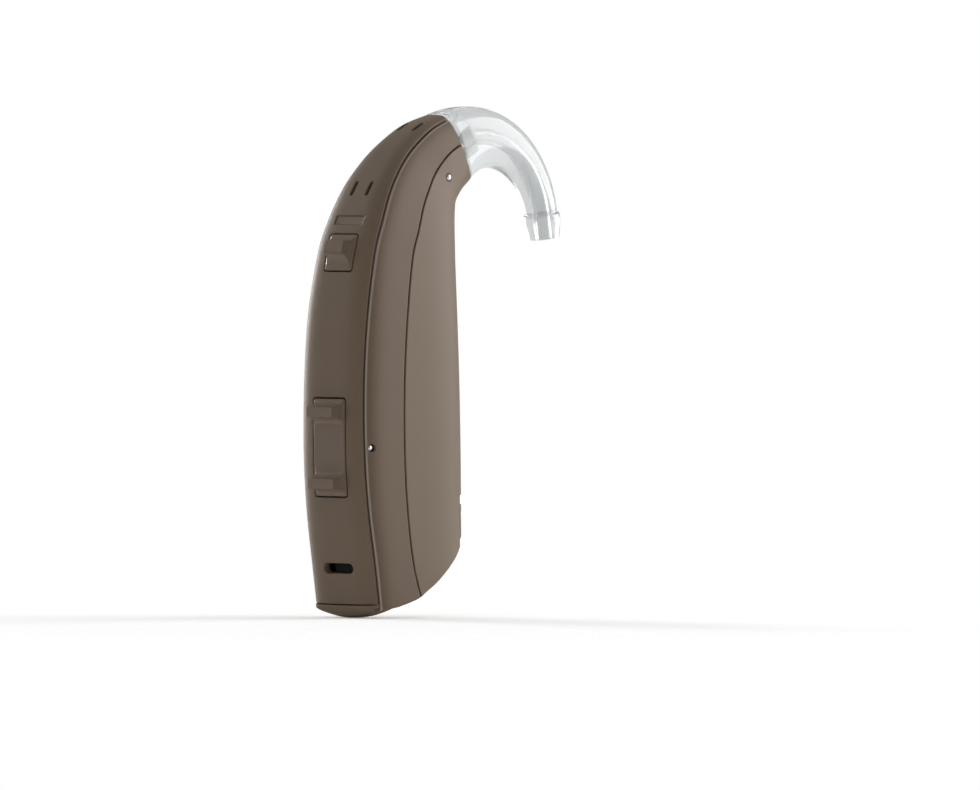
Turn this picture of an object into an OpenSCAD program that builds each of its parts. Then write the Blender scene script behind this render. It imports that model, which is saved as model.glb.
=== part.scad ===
// Behind-the-ear hearing aid for a size 675 zinc-air cell, with a screwed clear ear hook.
// Millimetres. +Z is up, +X points forward to the ear hook's tip, and Y runs across the thickness.
// The origin is the middle of the flat foot under the battery door.

/* [Body] */
// Height from the foot to the top of the ear hook joint
body_h = 50; // [48:0.5:54]
// Depth from the spine to the front, at the volume rocker
body_d = 15.6; // [15.4:0.1:17]
// Thickness across the two side walls
body_w = 9.9; // [9.8:0.1:11]
// Wall of the shell pieces
wall = 0.8; // [0.7:0.05:0.9]
// Gap at the seams between the shell pieces
seam_gap = 0.15; // [0.1:0.05:0.2]
// Distance from the spine's rearmost line to the middle of the foot
foot_x = 3.5; // [3.3:0.1:3.7]
// Length of the flat foot along the body's depth
foot_l = 2.1; // [1.6:0.1:2.3]
// Height of the roof over the battery room
roof_z = 17.7; // [17.6:0.1:18.2]
// Height of the shelf that carries the receiver
shelf_z = 31.3; // [30.5:0.1:32]
// Thickness of the frame's roof and shelf
web_t = 0.7; // [0.6:0.05:0.9]

/* [Ear hook] */
// Bend radius of the hook's centre line
hook_r = 9.3; // [8.5:0.1:11]
// Angle that the hook bends through, in degrees
hook_sweep = 107; // [90:1:115]
// Outer diameter of the hook at its tip
hook_tip_d = 3.27; // [3:0.01:3.5]
// Diameter of the sound channel
channel_d = 1.3; // [1.1:0.05:1.5]
// Diameter of the tubing collar at the tip
barb_d = 3.7; // [3.5:0.05:3.9]
// Diameter of the collar's open end
barb_end_d = 3.1; // [2.9:0.05:3.3]
// Length of the tubing collar
barb_l = 2.4; // [2:0.1:3]
// Length of the collar's straight land
land_l = 0.7; // [0.6:0.05:0.9]
// Outer diameter of the spout's threaded neck
neck_d = 3.2; // [3:0.05:3.3]
// Length of the threaded neck outside the body
neck_l = 2.4; // [2:0.1:2.8]
// Ring section diameter of the hook's seal
seal_t = 0.36; // [0.3:0.02:0.4]

/* [Controls] */
// Height of the volume rocker's axle
rocker_z = 16.9; // [16.5:0.1:17.2]
// Length of the rocker's window
rocker_l = 9.9; // [9.4:0.1:10.2]
// Width of the rocker's window
rocker_w = 4.6; // [4.2:0.1:5]
// Depth of the rocker's axle behind the spine
rocker_axle_in = 1.3; // [1.2:0.05:1.4]
// Height of the two thumb ridges
ridge_h = 1.3; // [1:0.05:1.4]
// Height of the push button's middle
button_z = 36.2; // [35.5:0.1:37]
// Width of the push button's window
button_w = 4; // [3.6:0.1:4.2]
// Length of the push button's window
button_l = 3.9; // [3.6:0.1:4]
// Height of the push button above the spine
button_h = 1.2; // [0.9:0.05:1.3]
// Travel of the push button
button_travel = 0.35; // [0.25:0.05:0.4]
// Height of the lock slot
lock_z = 4.9; // [4.7:0.1:5.2]
// Width of the lock slot
lock_w = 4.1; // [3.8:0.1:4.3]
// Height of the lock slot's opening
lock_t = 1.03; // [0.9:0.01:1.2]
// Travel of the lock slider
lock_travel = 1.4; // [1.2:0.1:1.5]

/* [Battery] */
// Diameter of the size 675 cell
cell_d = 11.6; // [11.3:0.05:11.6]
// Thickness of the size 675 cell
cell_t = 5.4; // [5:0.05:5.4]
// Distance of the cell's middle from the spine's rearmost line
cell_x = 7.35; // [7.3:0.05:7.45]
// Height of the cell's middle
cell_z = 9.4; // [9.3:0.1:9.6]
// Distance of the door hinge from the spine's rearmost line
hinge_x = 14.05; // [14:0.05:14.2]
// Height of the door hinge
hinge_z = 11.6; // [11.5:0.05:11.8]
// Diameter of the hinge barrel
barrel_d = 2.2; // [2:0.05:2.3]
// Length of the hinge barrel
barrel_l = 6.2; // [5.6:0.1:6.4]
// Diameter of the hinge pin
hinge_pin_d = 1; // [0.8:0.05:1.1]
// Width of the door between the side walls
door_w = 8; // [7.6:0.1:8.1]
// Wall of the door
door_wall = 0.8; // [0.7:0.05:0.9]
// Height of the nail grip's upper edge
grip_z = 1.25; // [1.1:0.05:1.35]

/* [Microphones] */
// Height of the front microphone's slots
front_mic_z = 48.65; // [48.4:0.05:48.8]
// Height of the rear microphone's slots
rear_mic_z = 42.4; // [42:0.1:42.8]
// Length of one microphone slot
slot_l = 1.7; // [1.4:0.1:1.9]
// Width of one microphone slot
slot_w = 0.42; // [0.35:0.01:0.5]
// Distance between the two slots of a microphone
slot_pitch = 2.1; // [1.9:0.1:2.2]
// Height of the inlay's middle
inlay_z = 39.4; // [39.2:0.1:39.6]
// Width of the inlay
inlay_w = 3.9; // [3.5:0.1:4.1]
// Length of the inlay
inlay_l = 1; // [0.8:0.05:1.1]
// Depth of the inlay's recess
inlay_t = 0.3; // [0.25:0.05:0.35]

/* [Pins] */
// Diameter of the rocker axle and the cover pin
pin_d = 0.75; // [0.7:0.01:0.8]
// Diameter of the holes that the pins show in
pin_hole_d = 0.9; // [0.86:0.01:0.95]
// Distance of the cover pin from the spine's rearmost line
cover_pin_x = 13.7; // [13.6:0.05:13.8]
// Height of the cover pin
cover_pin_z = 43.6; // [43.5:0.05:43.7]
// Depth that the pins' domed ends lie below the surface
pin_sink = 0.12; // [0.08:0.01:0.2]

/* [Fits] */
// Gap round a moving piece in its window
window_gap = 0.12; // [0.1:0.01:0.15]
// Radial running clearance of a pin in a bore
run_fit = 0.03; // [0.02:0.01:0.05]
// Clearance between pieces that only lie side by side
side_gap = 0.1; // [0.08:0.01:0.12]

/* [Hidden] */
over = 0.5;
round_fn = 48;

// Station rows from the bottom to the ear hook joint, each a section across the body: spine x, spine z,
// front x, front z, half thickness, back exponent, front exponent, first seam's share of the half
// thickness, second seam's share of the depth, and the share of the depth where it is widest.
station_shares = [
    [0.128, -0.010, 1.003, -0.010, 0.990, 5.0, 4.0, 0.900, 0.505, 0.366],
    [0.077, 0.098, 1.003, 0.098, 1.000, 5.0, 4.0, 0.900, 0.398, 0.346],
    [0.022, 0.218, 1.000, 0.218, 1.000, 5.0, 4.0, 0.885, 0.370, 0.328],
    [-0.003, 0.338, 0.997, 0.334, 1.000, 5.0, 4.0, 0.870, 0.362, 0.320],
    [0.000, 0.476, 0.987, 0.468, 0.990, 5.0, 4.0, 0.865, 0.367, 0.325],
    [0.029, 0.606, 0.974, 0.588, 0.960, 5.0, 4.0, 0.885, 0.390, 0.338],
    [0.099, 0.726, 0.974, 0.692, 0.889, 5.0, 3.8, 0.910, 0.418, 0.349],
    [0.179, 0.790, 0.978, 0.738, 0.838, 5.0, 3.7, 0.915, 0.446, 0.362],
    [0.285, 0.848, 0.987, 0.774, 0.768, 4.8, 3.6, 0.900, 0.456, 0.381],
    [0.410, 0.892, 1.003, 0.800, 0.697, 4.6, 3.4, 0.880, 0.464, 0.407],
    [0.551, 0.928, 1.026, 0.820, 0.626, 4.2, 3.2, 0.860, 0.460, 0.448],
    [0.744, 0.970, 1.083, 0.842, 0.566, 3.8, 3.2, 0.820, 0.445, 0.481],
    [0.926, 0.997, 1.154, 0.859, 0.505, 3.2, 3.2, 0.740, 0.430, 0.500]];
last_station = len(station_shares) - 1;
rings_per_station = 2;

// The lower edge of the side walls, as shares of the body's depth and height
edge_shares = [[0.141, 0.012], [0.288, 0.024], [0.474, 0.040], [0.560, 0.055], [0.654, 0.073],
    [0.769, 0.101], [0.865, 0.128], [0.936, 0.158], [0.981, 0.184], [1.003, 0.204]];
// How far round each piece's section points lie, from its middle or first seam to its edge
spine_spread_shares = [-1, -0.9, -0.76, -0.55, -0.28, 0, 0.28, 0.55, 0.76, 0.9, 1];
side_spread_shares = [0, 0.1, 0.28, 0.5, 0.75, 1];
front_spread_shares = [0, 0.1, 0.22, 0.36, 0.5, 0.64, 0.77, 0.88, 0.96];
solid_spread_shares = [0, 0.1, 0.24, 0.36, 0.48, 0.6, 0.72, 0.86, 1];

function mix(a, b, s) = a + (b - a) * s;
function spline(p, q, r, s, f) = (2 * q + (r - p) * f + (2 * p - 5 * q + 4 * r - s) * f * f
    + (3 * q - p - 3 * r + s) * f * f * f) / 2;
function row_from(rows, t) = let (k = min(floor(t), len(rows) - 2))
    spline(rows[max(k - 1, 0)], rows[k], rows[k + 1], rows[min(k + 2, len(rows) - 1)], t - k);
function row(t) = row_from(station_shares, t);
function spine_at(t) = [row(t)[0] * body_d, row(t)[1] * body_h];
function front_at(t) = [row(t)[2] * body_d, row(t)[3] * body_h];
function depth_at(t) = norm(front_at(t) - spine_at(t));
function inward_at(t) = (front_at(t) - spine_at(t)) / depth_at(t);
function half_w(t) = row(t)[4] * body_w / 2;
function seam_one(t) = row(t)[7] * half_w(t);
function seam_two(t) = row(t)[8] * depth_at(t);
function widest(t) = row(t)[9] * depth_at(t);

// Angle of a section point, 0 at the spine, 90 where the section is widest and 180 at the front
function angle_of_width(t, y) = asin(pow(y / half_w(t), row(t)[5] / 2));
function angle_of_depth(t, v) = v < widest(t)
    ? acos(pow((widest(t) - v) / widest(t), row(t)[5] / 2))
    : 180 - acos(pow((v - widest(t)) / (depth_at(t) - widest(t)), row(t)[6] / 2));

// A point of the section at station t: two superellipse halves that meet at the widest line
function section_point(t, angle, inset) = let (a = abs(angle), back = a <= 90,
        power = 2 / (back ? row(t)[5] : row(t)[6]), reach = pow(abs(cos(a)), power),
        v = back ? widest(t) - (widest(t) - inset) * reach
            : widest(t) + (depth_at(t) - widest(t) - inset) * reach,
        y = (half_w(t) - inset) * pow(sin(a), power), place = spine_at(t) + inward_at(t) * v)
    [place[0], (angle < 0 ? -1 : 1) * y, place[1]];
function width_at(t, v) = section_point(t, angle_of_depth(t, v), 0)[1];

function spine_angles(t) = let (edge = seam_one(t) - seam_gap / 2)
    [for (s = spine_spread_shares) (s < 0 ? -1 : 1) * angle_of_width(t, edge * abs(s))];
function side_angles(t) = let (a = angle_of_width(t, seam_one(t) + seam_gap / 2),
        b = angle_of_depth(t, seam_two(t) - seam_gap / 2))
    [for (s = side_spread_shares) mix(a, b, s)];
function flipped(angles) = [for (k = [len(angles) - 1:-1:0]) -angles[k]];
function front_angles(t) = let (a = angle_of_depth(t, seam_two(t) + seam_gap / 2),
        half = [for (s = front_spread_shares) mix(a, 180, s)])
    concat(half, [180], [for (k = [len(half) - 1:-1:0]) -half[k]]);
function solid_angles(t) = let (half = [for (s = solid_spread_shares) mix(0, 180, s)])
    concat(half, [for (k = [len(half) - 2:-1:1]) -half[k]]);

function shell_loop(t, angles, inset) = concat([for (a = angles) section_point(t, a, 0)],
    [for (k = [len(angles) - 1:-1:0]) section_point(t, angles[k], inset)]);
function stations(a, b, count) = [for (k = [0:count]) mix(a, b, k / count)];
function spine_station(z) = lookup(z, [for (k = [0:4 * last_station])
    [spine_at(k / 4)[1], k / 4]]);

// A closed solid through loops of points that all have the same count
module loft(loops) {
    n = len(loops[0]);
    m = len(loops);
    sides = [for (i = [0:m - 2], j = [0:n - 1], half = [0, 1]) half == 0
        ? [i * n + j, (i + 1) * n + (j + 1) % n, (i + 1) * n + j]
        : [i * n + j, i * n + (j + 1) % n, (i + 1) * n + (j + 1) % n]];
    strip = [for (j = [0:n / 2 - 2], half = [0, 1])
        half == 0 ? [j, n - 1 - j, j + 1] : [j + 1, n - 1 - j, n - 2 - j]];
    last = (m - 1) * n;
    far_strip = [for (f = strip) [f[2] + last, f[1] + last, f[0] + last]];
    polyhedron([for (loop = loops) each loop], concat(sides, strip, far_strip));
}

// The whole body as one solid, drawn in by an inset
module body_solid(inset, from, to, count) {
    loft([for (t = stations(from, to, count)) [for (a = solid_angles(t)) section_point(t, a, inset)]]);
}

// Sets children at the spine, with +X inward, Y across and +Z up along the spine
module at_spine(z) {
    t = spine_station(z);
    way = spine_at(min(t + 0.1, last_station)) - spine_at(t - 0.1);
    translate([spine_at(t)[0], 0, z]) rotate([0, atan2(way[0], way[1]), 0]) children();
}

// Sets children at the ear hook joint, with +Z out along the spout and +X toward the front
joint = (spine_at(last_station) + front_at(last_station)) / 2;
joint_in = inward_at(last_station);
joint_tilt = atan2(-joint_in[1], joint_in[0]);
module at_joint() {
    translate([joint[0], 0, joint[1]]) rotate([0, joint_tilt, 0]) children();
}

module placed() {
    translate([-foot_x, 0, 0]) children();
}

// Sets a profile drawn in the X and Z directions upright, with its width across Y
module across(width) {
    rotate([90, 0, 0]) translate([0, 0, -width / 2]) linear_extrude(width) children();
}

// A round bar across Y
module bar(d, width) {
    rotate([90, 0, 0]) cylinder(d = d, h = width, center = true, $fn = round_fn);
}

module slot_2d(l, w) {
    square([l - w, w], center = true);
    for (side = [-1, 1]) translate([side * (l - w) / 2, 0]) circle(d = w, $fn = round_fn);
}

module rounded_2d(l, w, r) {
    square([l - 2 * r, w], center = true);
    square([l, w - 2 * r], center = true);
    for (a = [-1, 1], b = [-1, 1]) translate([a * (l / 2 - r), b * (w / 2 - r)])
        circle(r = r, $fn = round_fn);
}

// Sets a flat outline, drawn with its first axis across Y and its second along the spine
module on_spine(z, inner, height) {
    at_spine(z) translate([inner, 0, 0]) rotate([90, 0, 90]) linear_extrude(height) children();
}

// Points along the lower edge of the side walls, left to right
edge_steps = 3;
edge_curve = [for (k = [0:edge_steps * (len(edge_shares) - 1)])
    let (p = row_from(edge_shares, k / edge_steps)) [p[0] * body_d, p[1] * body_h]];
edge_low = edge_curve[0];

// Everything below the side walls' lower edge
module under_side_walls() {
    across(body_w + 2 * over) polygon(concat([[-over, edge_low[1]]], edge_curve,
        [[body_d + 2 * over, edge_curve[len(edge_curve) - 1][1]],
        [body_d + 2 * over, -4 * over], [-over, -4 * over]]));
}

cover_color = "#766a60";
frame_color = "#7d7167";

// Moulded shell pieces
corner_r = 0.3;
axle_x = spine_at(spine_station(rocker_z))[0] + rocker_axle_in;
window_shapes = [[rocker_z, rocker_w, rocker_l], [button_z, button_w, button_l]];
module spine_cover() {
    color(cover_color) placed() difference() {
        loft([for (t = stations(spine_station(grip_z + side_gap), last_station, rings_per_station
            * last_station)) shell_loop(t, spine_angles(t), wall)]);
        for (w = window_shapes) on_spine(w[0], -over, wall + 2 * over)
            rounded_2d(w[1], w[2], corner_r);
        on_spine(lock_z, -over, wall + 2 * over) slot_2d(lock_w, lock_t);
        for (z = [front_mic_z, rear_mic_z], side = [-1, 1]) on_spine(z, -over, wall + 2 * over)
            translate([side * slot_pitch / 2, 0]) rotate(90) slot_2d(slot_l, slot_w);
        on_spine(inlay_z, -over, over + inlay_t) square([inlay_w, inlay_l], center = true);
        translate([axle_x, 0, rocker_z]) bar(pin_hole_d, body_w + over);
    }
}

module label_inlay() {
    color("#6a5f56") placed() on_spine(inlay_z, inlay_t / 3, inlay_t * 2 / 3)
        square([inlay_w - side_gap, inlay_l - side_gap], center = true);
}

// Frame between the covers: a band along each side, joined by the battery roof, the receiver's
// shelf, the button's bridge and a bridge behind the microphones
bridge_t = 1.2;
bridge_in = 3.2;
switch_t = 0.9;
roof_back = 2.3;
frame_bite = 0.2;
function inner_w(t) = 2 * (half_w(t) - wall);
module frame_web(z, t, back, reach) {
    translate([back, -inner_w(t) / 2 - frame_bite, z])
        cube([seam_two(t) - back - side_gap, inner_w(t) + 2 * frame_bite, web_t]);
    translate([0, 0, z]) linear_extrude(web_t) intersection() {
        polygon([for (a = solid_angles(t), p = [section_point(t, a, wall + side_gap)]) [p[0], p[1]]]);
        translate([back, -body_w]) square([reach - back, 2 * body_w]);
    }
}

module frame_bridge(z) {
    t = spine_station(z);
    at_spine(z) translate([bridge_in, -inner_w(t) / 2 - frame_bite, -bridge_t])
        cube([web_t, inner_w(t) + 2 * frame_bite, 2 * bridge_t]);
}

roof_reach = 12.4;
shelf_back = 3.4;
shelf_reach = 13.4;
bridge_z = 43.2;
module mid_frame() {
    color(frame_color) placed() difference() {
        union() {
            for (side = [-1, 1]) loft([for (t = stations(0, last_station, rings_per_station * last_station))
                shell_loop(t, side > 0 ? side_angles(t) : flipped(side_angles(t)), wall)]);
            frame_web(roof_z, spine_station(roof_z), roof_back, roof_reach);
            frame_web(shelf_z, spine_station(shelf_z), shelf_back, shelf_reach);
            frame_bridge(button_z);
            frame_bridge(bridge_z);
        }
        under_side_walls();
        across(door_w + 2 * side_gap) offset(delta = side_gap) door_side();
        translate([axle_x, 0, rocker_z]) bar(pin_hole_d, body_w + over);
    }
}

// Front cover: its middle is open below the hinge for the battery door, and two lugs carry the pin
lug_gap = 0.15;
front_open_z = hinge_z + barrel_d * 3 / 4;
lug_d = barrel_d + 2 * lug_gap;
module front_cover() {
    color(cover_color) placed() difference() {
        union() {
            difference() {
                loft([for (t = stations(0, last_station, rings_per_station * last_station))
                    shell_loop(t, front_angles(t), wall)]);
                translate([0, -door_w / 2 - side_gap, -over])
                    cube([body_d + 2 * over, door_w + 2 * side_gap, front_open_z + over]);
            }
            intersection() {
                body_solid(0, 1, 4, 6);
                translate([hinge_x, 0, hinge_z]) difference() {
                    bar(lug_d, door_w + 2 * side_gap + wall);
                    bar(lug_d + over, barrel_l + 2 * lug_gap);
                }
            }
        }
        under_side_walls();
        translate([hinge_x, 0, hinge_z]) bar(hinge_pin_d, door_w);
        translate([cover_pin_x, 0, cover_pin_z]) bar(pin_hole_d, body_w);
    }
}

// Pins with domed ends, lying across the body
dome_steps = 6;
module domed_pin(d, length) {
    dome = d / 6;
    arc = [for (k = [0:dome_steps]) let (a = 90 * k / dome_steps) [d / 2 * cos(a), length / 2 - dome * (1 - sin(a))]];
    rotate([90, 0, 0]) rotate_extrude($fn = round_fn) polygon(concat(arc,
        [for (k = [dome_steps:-1:0]) [arc[k][0], -arc[k][1]]]));
}

module rocker_pin() {
    t = spine_station(rocker_z);
    color("#c9cccf") placed() translate([axle_x, 0, rocker_z])
        domed_pin(pin_d, 2 * (width_at(t, rocker_axle_in) - pin_sink));
}

cover_pin_w = 2 * 3.2;
module cover_pin() {
    color("#c9cccf") placed() translate([cover_pin_x, 0, cover_pin_z])
        domed_pin(pin_d, cover_pin_w - 2 * pin_sink);
}

module door_hinge_pin() {
    color("#c9cccf") placed() translate([hinge_x, 0, hinge_z]) bar(hinge_pin_d, door_w);
}

// Sound path: spout block in the neck, its threaded neck, and the tube from the receiver
spout_block_l = 1.9;
spout_block_r = 1.4;
spout_back = 3.9;
spout_in = 1;
nipple_d = 2;
nipple_l = 0.9;
pin_lug_l = 1.7;
pin_lug_w = 3;
pin_lug_end = 4.4;
pin_lug_in = 0.6;
module sound_spout() {
    block_l = depth_at(last_station) - 2 * (wall + side_gap);
    block_w = 2 * (half_w(last_station) - wall - side_gap);
    color("#5c534b") placed() difference() {
        at_joint() {
            translate([0, 0, -spout_block_l]) linear_extrude(spout_block_l - side_gap)
                rounded_2d(block_l, block_w, spout_block_r);
            translate([pin_lug_in, -pin_lug_w / 2, -pin_lug_end])
                cube([pin_lug_l, pin_lug_w, pin_lug_end - spout_in]);
            translate([0, 0, -spout_in]) cylinder(d = neck_d, h = spout_in + neck_l, $fn = round_fn);
            translate([0, 0, -spout_back - nipple_l])
                cylinder(d = nipple_d, h = spout_back + nipple_l - spout_in / 2, $fn = round_fn);
        }
        at_joint() translate([0, 0, -spout_back - nipple_l - over])
            cylinder(d = channel_d, h = spout_back + nipple_l + neck_l + 2 * over, $fn = round_fn);
        translate([cover_pin_x, 0, cover_pin_z]) bar(pin_d + 2 * run_fit, body_w);
    }
}

// Receiver: a sealed can that stands on the shelf in a soft boot
can_l = 7;
can_w = 4;
can_d = 3.2;
can_x = 11.2;
boot_t = 0.4;
boot_l = 2.4;
can_z = shelf_z + web_t + boot_t;
port_d = 1.2;
port_l = 1;
module receiver() {
    color("#b9bcbe") placed() {
        translate([can_x - can_d / 2, -can_w / 2, can_z]) cube([can_d, can_w, can_l]);
        translate([can_x, 0, can_z + can_l]) cylinder(d = port_d, h = port_l, $fn = round_fn);
    }
}

module receiver_cradle() {
    color("#2d2c2b") placed() difference() {
        translate([can_x - can_d / 2 - boot_t, -can_w / 2 - boot_t, shelf_z + web_t])
            cube([can_d + 2 * boot_t, can_w + 2 * boot_t, boot_t + boot_l]);
        translate([can_x - can_d / 2, -can_w / 2, can_z]) cube([can_d, can_w, boot_l + over]);
    }
}

// The tube climbs from the receiver's port and bends onto the spout's line
tube_d = 2;
tube_r = 1.6;
joint_out = [-joint_in[1], joint_in[0]];
spout_end = joint - joint_out * (spout_back + nipple_l);
tube_turn = joint_tilt;
tube_tangent = tube_r * tan(tube_turn / 2);
tube_meet_z = spout_end[1] - (spout_end[0] - can_x) * joint_out[1] / joint_out[0];
tube_start = can_z + can_l + port_l;
tube_bend_z = tube_meet_z - tube_tangent;
tube_sides = 12;
bend_rings = 6;
tube_bend = [for (k = [0:bend_rings]) let (a = tube_turn * k / bend_rings)
    [can_x + tube_r * (1 - cos(a)), tube_bend_z + tube_r * sin(a), a]];
function out_from(axis, past) = spout_end[axis] + joint_out[axis] * past;
function tube_path(past) = concat([[can_x, tube_start - past, 0]], tube_bend,
    [[out_from(0, past - run_fit), out_from(1, past - run_fit), tube_turn]]);
module tube_solid(r, past) {
    loft([for (p = tube_path(past)) [for (k = [0:tube_sides - 1]) let (a = -360 * k / tube_sides)
        [p[0] + r * cos(a) * cos(p[2]), r * sin(a), p[1] - r * cos(a) * sin(p[2])]]]);
}

module receiver_tube() {
    color("#d9dcdc") placed() difference() {
        tube_solid(tube_d / 2, 0);
        tube_solid(port_d / 2, over);
    }
}

// Electronics between the roof and the shelf
board_t = 0.4;
board_back = 4.5;
board_w = 8.4;
board_y = -0.7;
board_z = roof_z + web_t;
board_l = shelf_z - board_z;
chip_l = 5;
chip_w = 4.6;
chip_t = 1.2;
module circuit_board() {
    color("#2f5a3c") placed() translate([board_back, board_y - board_t / 2, board_z])
        cube([board_w, board_t, board_l]);
}

module processor_chip() {
    color("#26272a") placed() translate([board_back + (board_w - chip_w) / 2, board_y + board_t / 2,
        board_z + (board_l - chip_l) / 2]) cube([chip_w, chip_t, chip_l]);
}

coil_d = 1.6;
coil_l = 6;
coil_core_d = 0.8;
coil_bobbin_d = 1.9;
coil_flange = 0.4;
module telecoil() {
    reach = board_y - board_t / 2 - coil_bobbin_d / 2;
    color("#b3713a") placed() translate([board_back + board_w / 2, reach, board_z + (board_l - coil_l) / 2]) {
        cylinder(d = coil_d, h = coil_l, $fn = round_fn);
        for (z = [0, coil_l - coil_flange]) translate([0, 0, z])
            cylinder(d = coil_bobbin_d, h = coil_flange, $fn = round_fn);
    }
}

antenna_t = 0.2;
antenna_w = 5.6;
antenna_margin = 0.8;
module antenna_strip() {
    color("#b98b4e") placed() translate([board_back + board_w, -antenna_w / 2, board_z + antenna_margin])
        cube([antenna_t, antenna_w, board_l - 2 * antenna_margin]);
}

// Microphones under the spine, each on a soft seal with its own sound slots
mic_l = 2.6;
mic_w = 3.1;
mic_t = 1.1;
seal_h = 0.5;
seal_wall = 0.3;
seal_in = wall + side_gap;
module mic_can(z) {
    on_spine(z, seal_in + seal_h, mic_t) square([mic_w, mic_l], center = true);
}

module mic_seal(z, from, to) {
    intersection() {
        body_solid(wall + side_gap / 2, from, to, 6);
        on_spine(z, 0, seal_in + seal_h) difference() {
            square([mic_w, mic_l], center = true);
            square([mic_w - 2 * seal_wall, mic_l - 2 * seal_wall], center = true);
        }
    }
}

module front_microphone() { color("#c3b27a") placed() mic_can(front_mic_z - mic_shift); }
module rear_microphone() { color("#c3b27a") placed() mic_can(rear_mic_z); }
module front_mic_seal() { color("#2d2c2b") placed() mic_seal(front_mic_z - mic_shift, 9, last_station); }
module rear_mic_seal() { color("#2d2c2b") placed() mic_seal(rear_mic_z, 6, 10); }
mic_shift = 0.3;

// Dome switch on the bridge behind the push button
dome_d = 2;
dome_h = 0.25;
module button_switch() {
    color("#c9cccf") placed() at_spine(button_z) {
        translate([bridge_in - switch_t, -dome_d, -bridge_t]) cube([switch_t, 2 * dome_d, 2 * bridge_t]);
        translate([bridge_in - switch_t - dome_h, 0, 0]) rotate([0, 90, 0])
            cylinder(d = dome_d, h = dome_h, $fn = round_fn);
    }
}

// Two dome switches on one strip behind the rocker, held against the roof's back edge
strip_t = 0.3;
strip_w = 3.4;
switch_reach = 3.6;
strip_over = 0.9;
module rocker_switches() {
    t = spine_station(roof_z);
    color("#c9cccf") placed() {
        translate([roof_back - strip_t, -strip_w / 2, rocker_z - switch_reach - strip_over])
            cube([strip_t, strip_w, 2 * (switch_reach + strip_over)]);
        for (side = [-1, 1])
            translate([roof_back - strip_t, 0, rocker_z + side * switch_reach]) rotate([0, -90, 0])
                cylinder(d = dome_d * 3 / 4, h = dome_h, $fn = round_fn);
    }
}

// Battery: a steel can with four air holes, its insulating grommet and the negative cap
cap_step = 0.4;
cap_d = 10.2;
can_t = 0.25;
air_hole_d = 0.6;
air_hole_share = 0.42;
module on_cell() {
    translate([cell_x, 0, cell_z]) rotate([90, 0, 0]) translate([0, 0, -cell_t / 2]) children();
}

module battery_can() {
    color("#c4c7c9") placed() on_cell() difference() {
        cylinder(d = cell_d, h = cell_t - cap_step, $fn = 2 * round_fn);
        translate([0, 0, can_t]) cylinder(d = cell_d - 2 * can_t, h = cell_t, $fn = 2 * round_fn);
        for (a = [45:90:315]) rotate(a) translate([cell_d / 2 * air_hole_share, 0, -over])
            cylinder(d = air_hole_d, h = 2 * over, $fn = round_fn);
    }
}

module battery_cap() {
    color("#d2d4d5") placed() on_cell() translate([0, 0, can_t])
        cylinder(d = cap_d, h = cell_t - can_t, $fn = 2 * round_fn);
}

module battery_grommet() {
    color("#3c6f8f") placed() on_cell() translate([0, 0, can_t]) difference() {
        cylinder(d = cell_d - 2 * can_t, h = cell_t - can_t - cap_step / 2, $fn = 2 * round_fn);
        translate([0, 0, -over]) cylinder(d = cap_d, h = cell_t + 2 * over, $fn = 2 * round_fn);
    }
}

// Spring contacts that hang from the roof beside the two faces of the cell
contact_t = 0.2;
contact_w = 1.8;
contact_l = 6.4;
module contact(side) {
    inner = cell_t / 2 + side_gap / 2;
    translate([cell_x - contact_w / 2, side > 0 ? inner : -inner - contact_t, roof_z - contact_l])
        cube([contact_w, contact_t, contact_l]);
}

module positive_contact() { color("#d8b860") placed() contact(1); }
module negative_contact() { color("#d8b860") placed() contact(-1); }

// Battery door: a curved floor between the side walls, the nail grip, the hinge barrel and two cheeks
heel_shares = [[0.108, 0.013], [0.124, 0.004]];
rise_shares = [[0.370, 0.007], [0.474, 0.030]];
function on_body(shares) = [for (p = shares) [p[0] * body_d, p[1] * body_h]];
floor_line = concat(on_body(heel_shares), [[foot_x - foot_l / 2, 0], [foot_x + foot_l / 2, 0]],
    on_body(rise_shares), [for (p = edge_curve) if (p[0] > rise_shares[1][0] * body_d + wall) p]);
cheek_t = 1;
cheek_back = 3.6;
cheek_top = 8.4;
cheek_front = 12.4;
notch_r = 4.4;
catch_x = 3.3;
catch_w = 0.6;
catch_h = 1.5;
room_front = cell_x + cell_d / 2 + 2 * side_gap;
function floor_z(x) = lookup(x, floor_line);
function floor_part(left, right, rise) = [for (p = floor_line) if (p[0] >= left && p[0] <= right)
    [p[0], p[1] + rise]];

module door_side() {
    low = floor_line[0];
    tip = floor_line[len(floor_line) - 1];
    top_floor = floor_part(catch_x, room_front, door_wall);
    polygon(concat([[low[0], grip_z]], floor_line, [[tip[0] + over, tip[1]], [tip[0] + over, hinge_z],
        [room_front, hinge_z], [room_front, floor_z(room_front) + door_wall]],
        [for (k = [len(top_floor) - 1:-1:0]) top_floor[k]], [[catch_x, grip_z]]));
}

module battery_door() {
    color(cover_color) placed() difference() {
        union() {
            intersection() {
                body_solid(0, 0, 3, 6);
                across(door_w) door_side();
            }
            translate([hinge_x, 0, hinge_z]) bar(barrel_d, barrel_l);
            for (side = [-1, 1]) translate([0, side * (door_w - cheek_t - side_gap) / 2, 0]) across(cheek_t)
                difference() {
                    polygon(concat([[cheek_back, cheek_top]], floor_part(cheek_back, cheek_front, door_wall / 2),
                        [[cheek_front, cheek_top]]));
                    translate([cell_x, cell_z]) circle(r = notch_r, $fn = round_fn);
                }
            translate([catch_x + side_gap, side_gap, door_wall / 2]) cube([catch_w, door_w / 4, catch_h]);
        }
        translate([cell_x, 0, cell_z]) bar(cell_d + 2 * side_gap, cell_t + 2 * side_gap);
        translate([hinge_x, 0, hinge_z]) bar(hinge_pin_d + 2 * run_fit, body_w);
        for (side = [-1, 1]) translate([hinge_x, side * (body_w + barrel_l) / 2, hinge_z])
            bar(lug_d + 2 * lug_gap, body_w);
    }
}

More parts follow.
